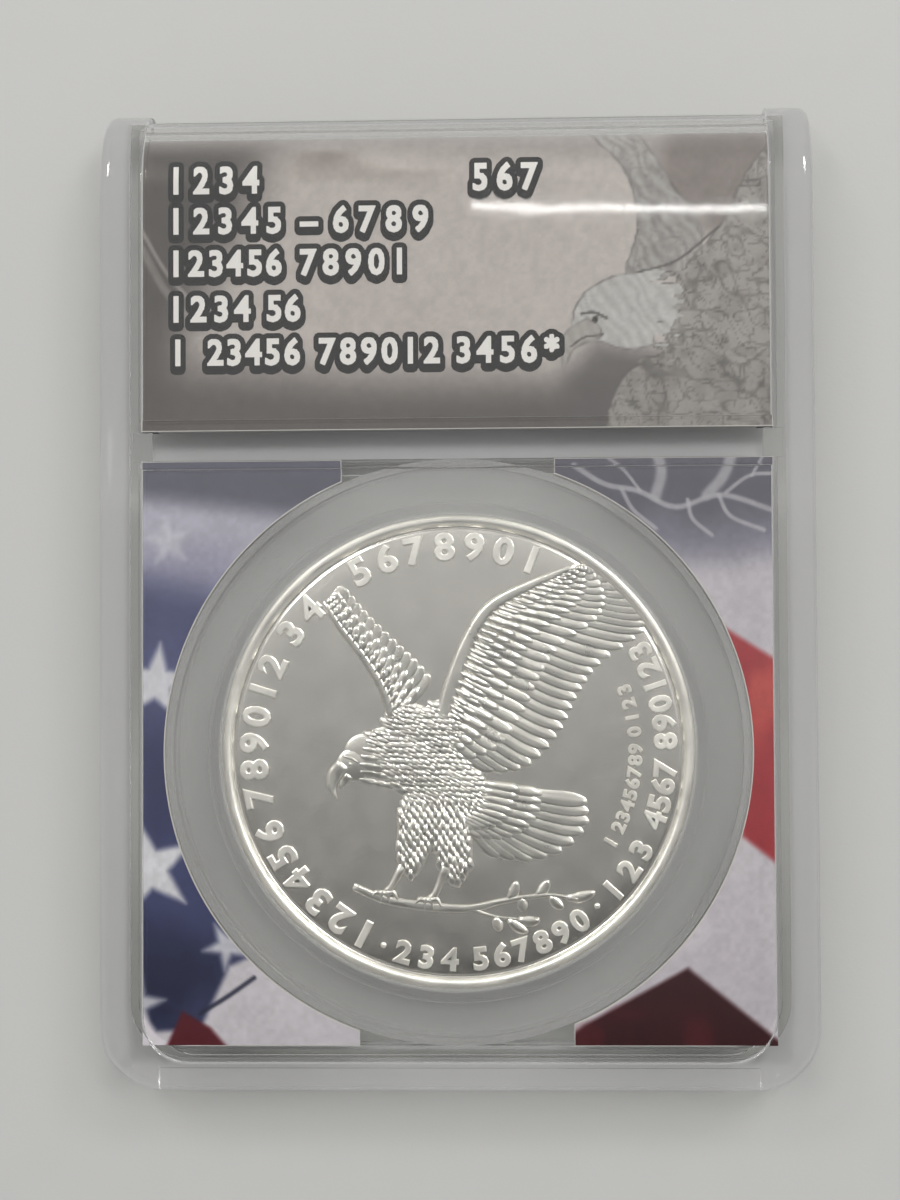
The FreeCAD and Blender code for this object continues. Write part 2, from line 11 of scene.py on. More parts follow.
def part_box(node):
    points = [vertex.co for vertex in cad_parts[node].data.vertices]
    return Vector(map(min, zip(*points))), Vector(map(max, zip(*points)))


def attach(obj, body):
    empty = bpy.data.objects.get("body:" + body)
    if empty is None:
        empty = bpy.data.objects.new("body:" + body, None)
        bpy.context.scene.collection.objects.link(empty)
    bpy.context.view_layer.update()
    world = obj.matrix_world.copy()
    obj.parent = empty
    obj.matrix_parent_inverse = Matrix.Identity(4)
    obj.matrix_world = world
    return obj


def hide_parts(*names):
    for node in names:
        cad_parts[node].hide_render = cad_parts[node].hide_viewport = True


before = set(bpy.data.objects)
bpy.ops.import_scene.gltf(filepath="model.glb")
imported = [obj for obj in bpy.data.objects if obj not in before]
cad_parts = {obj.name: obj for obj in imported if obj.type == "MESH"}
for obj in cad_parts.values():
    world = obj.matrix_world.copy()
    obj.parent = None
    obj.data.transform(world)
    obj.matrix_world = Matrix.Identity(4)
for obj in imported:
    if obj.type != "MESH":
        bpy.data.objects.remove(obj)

logging.basicConfig(level=logging.INFO, format="%(message)s")
LOG = logging.getLogger("coin_slab")
MM = 0.001
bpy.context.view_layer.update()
Array = np.ndarray
Colour = tuple[float, float, float]
Materials = dict[str, bpy.types.Material]
Ink = tuple[int, int, int]
Fed = float | Colour | bpy.types.NodeSocket

# Lengths in the classes are millimetres in the frame's own axes: X to the right,
# Y up the slab towards the label, Z out of its front windows, from the middle of
# its underside.


class Face(Enum):
    """A face of the coin or of the case; the value is the way it looks along Z."""

    FRONT = 1
    BACK = -1


class Heads(Enum):
    """Which way the heads of digits round a circle point."""

    OUTWARD = 1
    INWARD = -1


class Side(Enum):
    """A side of the coin; the value is its way along X."""

    LEFT = -1
    RIGHT = 1


# ---------------------------------------------------------------- meshes


def lowest(node: str) -> Array:
    """Gives the lowest corner of a frame node's box, in millimetres."""
    return np.array(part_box(node)[0]) / MM


def highest(node: str) -> Array:
    """Gives the highest corner of a frame node's box, in millimetres."""
    return np.array(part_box(node)[1]) / MM


def linear(red: int, green: int, blue: int) -> Colour:
    """Turns a colour of 0 to 255 per channel into linear light.

    Args:
        red: red as seen on a screen.
        green: green as seen on a screen.
        blue: blue as seen on a screen.

    Returns:
        ((c / 255 + 0.055) / 1.055) ^ 2.4 for each channel.
    """
    return tuple(((c / 255 + 0.055) / 1.055) ** 2.4 for c in (red, green, blue))


def smooth_step(low: float, high: float, value: Array) -> Array:
    """Gives 3t^2 - 2t^3, where t is value's share of the way from low to high, kept in 0 to 1."""
    share = np.clip((value - low) / (high - low), 0, 1)
    return share * share * (3 - 2 * share)


def grid_faces(rows: int, columns: int, count: int = 1, wrap: bool = False) -> Array:
    """Lists the four-cornered faces of one or more grids of points.

    Args:
        rows: points along the first parameter.
        columns: points along the second parameter.
        count: grids of this size, one after the other.
        wrap: whether the last column joins the first one.

    Returns:
        Corner numbers r*columns + c of each cell, anticlockwise, shape (faces, 4).
    """
    row, column = np.meshgrid(
        np.arange(rows - 1), np.arange(columns if wrap else columns - 1), indexing="ij"
    )
    right = (column + 1) % columns
    cell = np.stack(
        [row * columns + column, row * columns + right,
         (row + 1) * columns + right, (row + 1) * columns + column], axis=-1
    ).reshape(-1, 4)
    shifts = np.arange(count)[:, None, None] * rows * columns
    return (cell[None] + shifts).reshape(-1, 4)


class Stack:
    """Gathers points and faces of several surfaces into one mesh."""

    def __init__(self) -> None:
        """Starts with no points."""
        self.points: list[Array] = []
        self.faces: list[Array] = []
        self.total = 0

    def add(self, points: Array, faces: Array) -> None:
        """Adds one surface.

        Args:
            points: places in millimetres, last axis x, y, z.
            faces: corner numbers within these points, three or four per face.
        """
        flat = points.reshape(-1, 3)
        if faces.shape[1] == 3:
            faces = np.concatenate([faces, np.full((len(faces), 1), -1)], axis=1)
        self.faces.append(np.where(faces >= 0, faces + self.total, -1))
        self.points.append(flat)
        self.total += len(flat)

    def build(self, name: str, smooth: bool = True, check: bool = True) -> bpy.types.Object:
        """Makes the object, riding on the frame's one body.

        Args:
            name: the piece's name.
            smooth: whether its faces are shaded smooth.
            check: whether Blender looks the mesh over, which may drop faces.

        Returns:
            The new object, at the origin, with its place in its mesh.
        """
        points = np.concatenate(self.points) * MM
        faces = np.concatenate(self.faces)
        used = faces >= 0
        sizes = used.sum(axis=1)
        mesh = bpy.data.meshes.new(name)
        mesh.vertices.add(len(points))
        mesh.vertices.foreach_set("co", points.astype(np.float32).ravel())
        mesh.loops.add(int(sizes.sum()))
        mesh.loops.foreach_set("vertex_index", faces[used].astype(np.int32))
        mesh.polygons.add(len(faces))
        starts = np.concatenate([[0], np.cumsum(sizes)[:-1]]).astype(np.int32)
        mesh.polygons.foreach_set("loop_start", starts)
        mesh.polygons.foreach_set("use_smooth", np.full(len(faces), smooth))
        mesh.update(calc_edges=True)
        if check:
            mesh.validate()
        piece = bpy.data.objects.new(name, mesh)
        bpy.context.scene.collection.objects.link(piece)
        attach(piece, "root")
        LOG.info("%s: %d points, %d faces", name, len(points), len(faces))
        return piece


def paint(piece: bpy.types.Object, colours: Array, name: str = "Print") -> None:
    """Stores one colour per point.

    Args:
        piece: the object to colour.
        colours: linear colours, shape (points, 3).
        name: the attribute's name.
    """
    attribute = piece.data.color_attributes.new(name, "FLOAT_COLOR", "POINT")
    values = np.concatenate([colours.reshape(-1, 3), np.ones((colours.size // 3, 1))], axis=1)
    attribute.data.foreach_set("color", values.astype(np.float32).ravel())


# ---------------------------------------------------------------- finishes


class Graph:
    """Adds and links nodes in one node tree."""

    def __init__(self, tree: bpy.types.NodeTree) -> None:
        """Takes the tree to work in."""
        self.tree = tree

    def add(self, kind: str, inputs: dict | None = None, **settings: object) -> bpy.types.Node:
        """Adds a node.

        Args:
            kind: the node's type, without its ShaderNode prefix.
            inputs: sockets to set, or to link where the value is a socket.
            settings: properties of the node itself.

        Returns:
            The new node.
        """
        node = self.tree.nodes.new(f"ShaderNode{kind}")
        for key, value in settings.items():
            setattr(node, key, value)
        for key, value in (inputs or {}).items():
            if isinstance(value, bpy.types.NodeSocket):
                self.tree.links.new(value, node.inputs[key])
            else:
                node.inputs[key].default_value = value
        return node

    def math(self, operation: str, first: Fed, second: Fed = 0.0) -> bpy.types.NodeSocket:
        """Combines two numbers or sockets and gives the result's socket."""
        node = self.add("Math", {0: first, 1: second}, operation=operation)
        return node.outputs[0]

    def ramp(
        self, factor: Fed, low: float, high: float, to_low: float, to_high: float
    ) -> bpy.types.NodeSocket:
        """Maps factor from low..high to to_low..to_high, clamped, and gives the socket."""
        ends = {"From Min": low, "From Max": high, "To Min": to_low, "To Max": to_high}
        return self.add("MapRange", {"Value": factor, **ends}).outputs["Result"]

    def blend(self, factor: Fed, first: Fed, second: Fed, mode: str = "MIX") -> bpy.types.NodeSocket:
        """Mixes two colours.

        Args:
            factor: share of the second colour, a number or a socket.
            first: a linear colour or a socket.
            second: a linear colour or a socket.
            mode: how they combine.

        Returns:
            The result's socket.
        """
        node = self.add("Mix", {"Factor": factor}, data_type="RGBA", blend_type=mode)
        for key, value in (("A", first), ("B", second)):
            socket = next(s for s in node.inputs if s.name == key and s.type == "RGBA")
            if isinstance(value, bpy.types.NodeSocket):
                self.tree.links.new(value, socket)
            else:
                socket.default_value = (*value, 1)
        return next(s for s in node.outputs if s.type == "RGBA")


def group_tree(
    name: str, numbers: dict[str, float], outputs: tuple[str, ...]
) -> tuple[Graph, bpy.types.Node, bpy.types.Node]:
    """Starts a shared node group with named sockets.

    Args:
        name: the group's name.
        numbers: each input socket's name and default value.
        outputs: names of its number outputs.

    Returns:
        The graph, the group's input node and its output node.
    """
    tree = bpy.data.node_groups.new(name, "ShaderNodeTree")
    for key, value in numbers.items():
        socket = tree.interface.new_socket(key, in_out="INPUT", socket_type="NodeSocketFloat")
        socket.default_value = value
    for key in outputs:
        tree.interface.new_socket(key, in_out="OUTPUT", socket_type="NodeSocketFloat")
    return Graph(tree), tree.nodes.new("NodeGroupInput"), tree.nodes.new("NodeGroupOutput")


def scuff_group() -> bpy.types.NodeTree:
    """Builds the shared handling-wear effect: hair scratches and soft smears.

    Returns:
        A group whose Scratch output is 1 on thin lines, where stretched noise is
        close to its middle value, and whose Smear output is broad cloudy noise.
    """
    graph, inner, outer = group_tree("Scuffs", {"Scale": 1.0, "Reach": 1.0}, ("Scratch", "Smear"))
    place = graph.add("TexCoord").outputs["Object"]
    lines = []
    for turn, stretch in ((0.5, 22.0), (-0.9, 30.0), (1.9, 26.0)):
        turned = graph.add("Mapping", {"Vector": place, "Rotation": (0, 0, turn)}).outputs[0]
        mapped = graph.add("Mapping", {"Vector": turned, "Scale": (stretch, 1.2, 1.2)})
        scale = graph.math("MULTIPLY", inner.outputs["Scale"], 55.0)
        noise = graph.add("TexNoise", {"Vector": mapped.outputs[0], "Scale": scale, "Detail": 2.0})
        off = graph.math("ABSOLUTE", graph.math("SUBTRACT", noise.outputs["Fac"], 0.5))
        lines.append(graph.ramp(off, 0.0, 0.006, 1.0, 0.0))
    both = graph.math("MAXIMUM", graph.math("MAXIMUM", lines[0], lines[1]), lines[2])
    patch = graph.add("TexNoise", {"Vector": place, "Scale": 90.0, "Detail": 3.0})
    kept = graph.ramp(patch.outputs["Fac"], 0.48, 0.66, 0.0, 1.0)
    scratch = graph.math("MULTIPLY", graph.math("MULTIPLY", both, kept), inner.outputs["Reach"])
    smear = graph.add("TexNoise", {"Vector": place, "Scale": 42.0, "Detail": 4.0, "Distortion": 1.2})
    graph.tree.links.new(scratch, outer.inputs["Scratch"])
    graph.tree.links.new(graph.ramp(smear.outputs["Fac"], 0.3, 0.75, 0.0, 1.0), outer.inputs["Smear"])
    return graph.tree


def grain_group() -> bpy.types.NodeTree:
    """Builds the shared grain effect.

    Returns:
        A group whose Grain output is fine noise and whose Mottle output is the
        same noise twelve times coarser, both at a Size given in millimetres.
    """
    graph, inner, outer = group_tree("Grain", {"Size": 0.1}, ("Grain", "Mottle"))
    place = graph.add("TexCoord").outputs["Object"]
    scale = graph.math("DIVIDE", 1000.0, inner.outputs["Size"])
    fine = graph.add("TexNoise", {"Vector": place, "Scale": scale, "Detail": 3.0, "Roughness": 0.6})
    coarse = graph.math("DIVIDE", scale, 12.0)
    broad = graph.add("TexNoise", {"Vector": place, "Scale": coarse, "Detail": 2.0})
    graph.tree.links.new(fine.outputs["Fac"], outer.inputs["Grain"])
    graph.tree.links.new(broad.outputs["Fac"], outer.inputs["Mottle"])
    return graph.tree


SCUFFS = scuff_group()
GRAIN = grain_group()


@dataclass(frozen=True)
class Finish:
    """A plain finish, and the base of the others.

    Each subclass adds its surface detail in shade, and leaves what is the same
    all over on the shader's own sockets.
    """

    name: str
    colour: Colour
    roughness: float = 0.5
    metallic: float = 0.0
    sheen: float = 0.5
    grain_size: float = 0.12
    grain_height: float = 0.004

    def build(self) -> bpy.types.Material:
        """Makes the material.

        Returns:
            A new material with this finish's detail.
        """
        material = bpy.data.materials.new(self.name)
        material.use_nodes = True
        graph = Graph(material.node_tree)
        shader = material.node_tree.nodes["Principled BSDF"]
        shader.inputs["Base Color"].default_value = (*self.colour, 1)
        shader.inputs["Roughness"].default_value = self.roughness
        shader.inputs["Metallic"].default_value = self.metallic
        shader.inputs["Specular IOR Level"].default_value = self.sheen
        self.shade(graph, shader)
        return material

    def group(self, graph: Graph, tree: bpy.types.NodeTree, **values: float) -> bpy.types.Node:
        """Places a shared group in this material.

        Args:
            graph: the material's nodes.
            tree: the group.
            values: its inputs.

        Returns:
            The group's node.
        """
        node = graph.add("Group", node_tree=tree)
        for key, value in values.items():
            node.inputs[key].default_value = value
        return node

    def bump(self, graph: Graph, shader: bpy.types.Node, height: Fed, depth: float) -> None:
        """Feeds a height, in units of depth millimetres, to the shader's Normal."""
        node = graph.add("Bump", {"Height": height, "Distance": depth * MM, "Strength": 1.0})
        graph.tree.links.new(node.outputs[0], shader.inputs["Normal"])

    def shade(self, graph: Graph, shader: bpy.types.Node) -> None:
        """Adds fine grain to the height and the roughness.

        Args:
            graph: the material's nodes.
            shader: its Principled shader.
        """
        grain = self.group(graph, GRAIN, Size=self.grain_size)
        smooth, coarse = self.roughness * 0.85, self.roughness * 1.15
        rough = graph.ramp(grain.outputs["Mottle"], 0.3, 0.7, smooth, coarse)
        graph.tree.links.new(rough, shader.inputs["Roughness"])
        self.bump(graph, shader, grain.outputs["Grain"], self.grain_height)


@dataclass(frozen=True)
class ClearPlastic(Finish):
    """Clear moulded styrene with light handling wear, which lets lamps through."""

    ior: float = 1.57
    haze: float = 0.02
    wear: float = 0.05
    milk: float = 0.0
    milk_colour: Colour = (0.8, 0.82, 0.82)

    def shade(self, graph: Graph, shader: bpy.types.Node) -> None:
        """Makes the shader clear, scuffs its gloss and passes shadow rays straight through.

        Args:
            graph: the material's nodes.
            shader: its Principled shader.
        """
        shader.inputs["Transmission Weight"].default_value = 1.0
        shader.inputs["IOR"].default_value = self.ior
        scuffs = self.group(graph, SCUFFS, Scale=1.0, Reach=1.0)
        marks = graph.math("MULTIPLY", scuffs.outputs["Scratch"], self.wear)
        smears = graph.math("MULTIPLY", scuffs.outputs["Smear"], self.haze)
        rough = graph.math("ADD", graph.math("ADD", marks, smears), self.roughness)
        graph.tree.links.new(rough, shader.inputs["Roughness"])
        self.bump(graph, shader, scuffs.outputs["Smear"], self.grain_height)
        output = graph.tree.nodes["Material Output"]
        surface = shader.outputs[0]
        if self.milk > 0:
            cloudy = graph.add("BsdfDiffuse", {"Color": (*self.milk_colour, 1)})
            mixed = {0: self.milk, 1: surface, 2: cloudy.outputs[0]}
            surface = graph.add("MixShader", mixed).outputs[0]
        path = graph.add("LightPath")
        clear = graph.add("BsdfTransparent", {"Color": (0.86, 0.86, 0.855, 1)})
        open_way = graph.add("BsdfTransparent", {"Color": (0.97, 0.97, 0.97, 1)})
        diffuse_way = {0: path.outputs["Is Diffuse Ray"], 1: surface, 2: open_way.outputs[0]}
        spread = graph.add("MixShader", diffuse_way)
        shadow_way = {0: path.outputs["Is Shadow Ray"], 1: spread.outputs[0], 2: clear.outputs[0]}
        passing = graph.add("MixShader", shadow_way)
        graph.tree.links.new(passing.outputs[0], output.inputs["Surface"])


@dataclass(frozen=True)
class StruckSilver(Finish):
    """Struck silver: satin field or frosted relief, with faint radial flow lines."""

    flow: float = 0.0
    centre: tuple[float, float, float] = (0.0, 0.0, 0.0)

    def shade(self, graph: Graph, shader: bpy.types.Node) -> None:
        """Adds frost grain, and flow lines that vary with the angle round the centre.

        Args:
            graph: the material's nodes.
            shader: its Principled shader.
        """
        grain = self.group(graph, GRAIN, Size=self.grain_size)
        height = grain.outputs["Grain"]
        if self.flow > 0:
            place = graph.add("TexCoord").outputs["Object"]
            shift = tuple(-c * MM for c in self.centre)
            moved = graph.add("Mapping", {"Vector": place, "Location": shift})
            parts = graph.add("SeparateXYZ", {0: moved.outputs[0]})
            angle = graph.math("ARCTAN2", parts.outputs["Y"], parts.outputs["X"])
            spread = graph.add("CombineXYZ", {"X": graph.math("MULTIPLY", angle, 60.0)})
            lines = graph.add("TexNoise", {"Vector": spread.outputs[0], "Scale": 3.0, "Detail": 3.0})
            height = graph.math("ADD", height, graph.math("MULTIPLY", lines.outputs["Fac"], self.flow))
        smooth, coarse = self.roughness * 0.85, self.roughness * 1.2
        rough = graph.ramp(grain.outputs["Mottle"], 0.3, 0.7, smooth, coarse)
        graph.tree.links.new(rough, shader.inputs["Roughness"])
        self.bump(graph, shader, height, self.grain_height)


@dataclass(frozen=True)
class PrintedCard(Finish):
    """Printed card: reads its picture from the mesh's own colours."""

    screen: float = 0.0

    def shade(self, graph: Graph, shader: bpy.types.Node) -> None:
        """Feeds the stored colour through a fine printing screen and paper grain.

        Args:
            graph: the material's nodes.
            shader: its Principled shader.
        """
        grain = self.group(graph, GRAIN, Size=self.grain_size)
        stored = graph.add("Attribute", attribute_name="Print").outputs["Color"]
        dots = graph.ramp(grain.outputs["Grain"], 0.35, 0.65, 1 - self.screen, 1 + self.screen)
        tone = graph.add("CombineColor", {0: dots, 1: dots, 2: dots}).outputs[0]
        toned = graph.blend(1.0, stored, tone, "MULTIPLY")
        graph.tree.links.new(toned, shader.inputs["Base Color"])
        self.bump(graph, shader, grain.outputs["Grain"], self.grain_height)


@dataclass(frozen=True)
class DiffractionFoil(Finish):
    """Security foil whose tint drifts across a fine cell pattern."""

    def shade(self, graph: Graph, shader: bpy.types.Node) -> None:
        """Colours the foil from the bands of a wave over a cell pattern.

        Args:
            graph: the material's nodes.
            shader: its Principled shader.
        """
        place = graph.add("TexCoord").outputs["Object"]
        cells = graph.add("TexVoronoi", {"Vector": place, "Scale": 900.0})
        wave = graph.add("TexWave", {"Vector": place, "Scale": 70.0, "Distortion": 3.0})
        hue = graph.math("ADD", wave.outputs["Fac"], graph.math("MULTIPLY", cells.outputs["Distance"], 0.5))
        tint = graph.add("HueSaturation", {"Hue": hue, "Color": (0.45, 0.75, 0.70, 1)})
        graph.tree.links.new(tint.outputs[0], shader.inputs["Base Color"])
        self.bump(graph, shader, cells.outputs["Distance"], self.grain_height)


CLEAR = ClearPlastic("clear_styrene", (0.955, 0.955, 0.95), 0.015, grain_height=0.006)
WELDED = ClearPlastic(
    "frosted_meeting_face", (0.95, 0.95, 0.945), 0.3, milk=0.65, milk_colour=(0.54, 0.54, 0.54)
)
RIB = ClearPlastic(
    "frosted_rib_face", (0.95, 0.95, 0.945), 0.3, milk=0.75, milk_colour=(0.5, 0.5, 0.51)
)
SOFT_CLEAR = ClearPlastic(
    "soft_clear_ring", (0.9, 0.9, 0.89), 0.24, ior=1.45, haze=0.03, wear=0.012,
    milk=0.3, milk_colour=(0.6, 0.6, 0.595),
)
FIELD = StruckSilver(
    "silver_field", linear(231, 228, 221), 0.2, 1.0,
    grain_size=0.2, grain_height=0.002, flow=1.6, centre=(0.0, -13.55, 4.25),
)
FROST = StruckSilver("silver_relief", linear(209, 207, 200), 0.31, 1.0, grain_size=0.14, grain_height=0.012)
RIM = StruckSilver("silver_rim", linear(237, 235, 228), 0.39, 1.0, grain_size=0.2, grain_height=0.002)
PRINT = PrintedCard(
    "label_print_ink", (0.5, 0.5, 0.5), 0.42, sheen=0.25, grain_size=0.1, grain_height=0.002, screen=0.05
)
PAPER = Finish("card_stock", linear(214, 210, 204), 0.6)
WHITE_INK = Finish("white_ink", linear(236, 233, 228), 0.45, grain_height=0.002)
DARK_INK = Finish("dark_ink", linear(20, 19, 18), 0.45, sheen=0.1, grain_height=0.002)
FOIL = DiffractionFoil("security_foil", (0.7, 0.75, 0.8), 0.28, 1.0, grain_height=0.01)
TABLE = Finish("pale_table", linear(194, 194, 192), 0.55, grain_size=0.4, grain_height=0.01)
FINISHES = {
    "clear": CLEAR, "frosted": WELDED, "rib": RIB, "ring": SOFT_CLEAR, "field": FIELD, "frost": FROST,
    "rim": RIM, "print": PRINT, "paper": PAPER, "white": WHITE_INK, "dark": DARK_INK, "foil": FOIL,
}


def dress(piece: bpy.types.Object, material: bpy.types.Material) -> None:
    """Gives a piece one material in every slot that it has.

    Args:
        piece: the object to dress.
        material: its material.
    """
    slots = piece.data.materials
    if not slots:
        slots.append(material)
    for index in range(len(slots)):
        slots[index] = material


# ---------------------------------------------------------------- digits


class Typeface:
    """Plain digits, taken from Blender's own built-in letters."""

    def __init__(self) -> None:
        """Starts with no digit measured."""
        self.solids: dict[str, tuple[Array, Array]] = {}
        self.masks: dict[tuple[str, float], Array] = {}
        self.unit = 1.0
        self.unit = float(np.ptp(self.mesh("1", 0.0)[0][:, 1]))

    def mesh(self, sign: str, depth: float) -> tuple[Array, Array]:
        """Makes one sign's mesh with caps one unit high, standing on y = 0 and centred on x = 0.

        Args:
            sign: the sign.
            depth: half its raised depth, or 0 for a flat one.

        Returns:
            Its points and its triangles.
        """
        curve = bpy.data.curves.new("digit", "FONT")
        curve.body = sign
        curve.resolution_u = 3
        curve.offset = 0.018
        if depth:
            curve.extrude = depth
            curve.bevel_depth = 0.028
            curve.bevel_resolution = 1
        piece = bpy.data.objects.new("digit", curve)
        bpy.context.scene.collection.objects.link(piece)
        solid = piece.evaluated_get(bpy.context.evaluated_depsgraph_get()).to_mesh()
        solid.calc_loop_triangles()
        points = np.empty(len(solid.vertices) * 3)
        solid.vertices.foreach_get("co", points)
        corners = np.empty(len(solid.loop_triangles) * 3, np.int32)
        solid.loop_triangles.foreach_get("vertices", corners)
        bpy.data.objects.remove(piece)
        bpy.data.curves.remove(curve)
        points = points.reshape(-1, 3) / self.unit
        middle = (points[:, 0].max() + points[:, 0].min()) / 2
        return points - (middle, 0, 0), corners.reshape(-1, 3)

    def solid(self, sign: str) -> tuple[Array, Array]:
        """Gives one sign's raised mesh, made once.

        Args:
            sign: the sign.

        Returns:
            Its points and its triangles.
        """
        if sign not in self.solids:
            self.solids[sign] = self.mesh(sign, 0.03)
        return self.solids[sign]

    def mask(self, sign: str, cap: float, cell: float) -> Array:
        """Fills the cells that lie inside a sign.

        Each flat triangle covers the cells whose middles have three
        cross products of one sign against its edges.

        Args:
            sign: the sign.
            cap: its height in millimetres.
            cell: the cells' size in millimetres.

        Returns:
            True where a cell is inside; row 0 is the sign's foot.
        """
        key = (sign, cap)
        if key not in self.masks:
            points, corners = self.mesh(sign, 0.0)
            points = points[:, :2] * cap * (0.9, 1)
            half = points[:, 0].max()
            across = np.arange(-half, half, cell) + cell / 2
            up = np.arange(-0.5, cap + 0.5, cell) + cell / 2
            x, y = np.meshgrid(across, up)
            inside = np.zeros(x.shape, bool)
            for a, b, c in points[corners]:
                edges = ((a, b), (b, c), (c, a))
                sides = [(q[0] - p[0]) * (y - p[1]) - (q[1] - p[1]) * (x - p[0]) for p, q in edges]
                inside |= (np.min(sides, axis=0) >= 0) | (np.max(sides, axis=0) <= 0)
            self.masks[key] = inside
        return self.masks[key]


# ---------------------------------------------------------------- coin


def along(points: list[tuple[float, float]], share: Array) -> Array:
    """Follows a smooth curve through points.

    Args:
        points: the points that it passes through.
        share: how far along, 0 to 1.

    Returns:
        Places on the Catmull-Rom spline, half the sum of 2b, (c - a)t,
        (2a - 5b + 4c - d)t^2 and (3b - a - 3c + d)t^3, shape (len(share), 2).
    """
    knots = np.array(points, float)
    knots = np.vstack([2 * knots[0] - knots[1], knots, 2 * knots[-1] - knots[-2]])
    place = np.clip(np.asarray(share, float), 0, 1) * (len(points) - 1)
    step = np.minimum(place.astype(int), len(points) - 2)
    t = (place - step)[:, None]
    a, b, c, d = (knots[step + k] for k in range(4))
    bend = (2 * a - 5 * b + 4 * c - d) * t**2
    twist = (3 * b - a - 3 * c + d) * t**3
    return 0.5 * (2 * b + (c - a) * t + bend + twist)


@dataclass(frozen=True)
class Mound:
    """One rounded swelling of the relief, an ellipse seen from above."""

    x: float
    y: float
    long: float
    short: float
    turn: float
    height: float

    def share(self, places: Array) -> Array:
        """Measures places against the ellipse.

        Args:
            places: places on the face, last axis x, y.

        Returns:
            (u / long)^2 + (v / short)^2 in its own turned axes, 1 at its edge.
        """
        angle = math.radians(self.turn)
        dx, dy = places[..., 0] - self.x, places[..., 1] - self.y
        u = dx * math.cos(angle) + dy * math.sin(angle)
        v = dy * math.cos(angle) - dx * math.sin(angle)
        return (u / self.long) ** 2 + (v / self.short) ** 2

    def rise(self, places: Array) -> Array:
        """Gives height times the root of 1 - share, and 0 outside."""
        return self.height * np.sqrt(np.clip(1 - self.share(places), 0, 1))


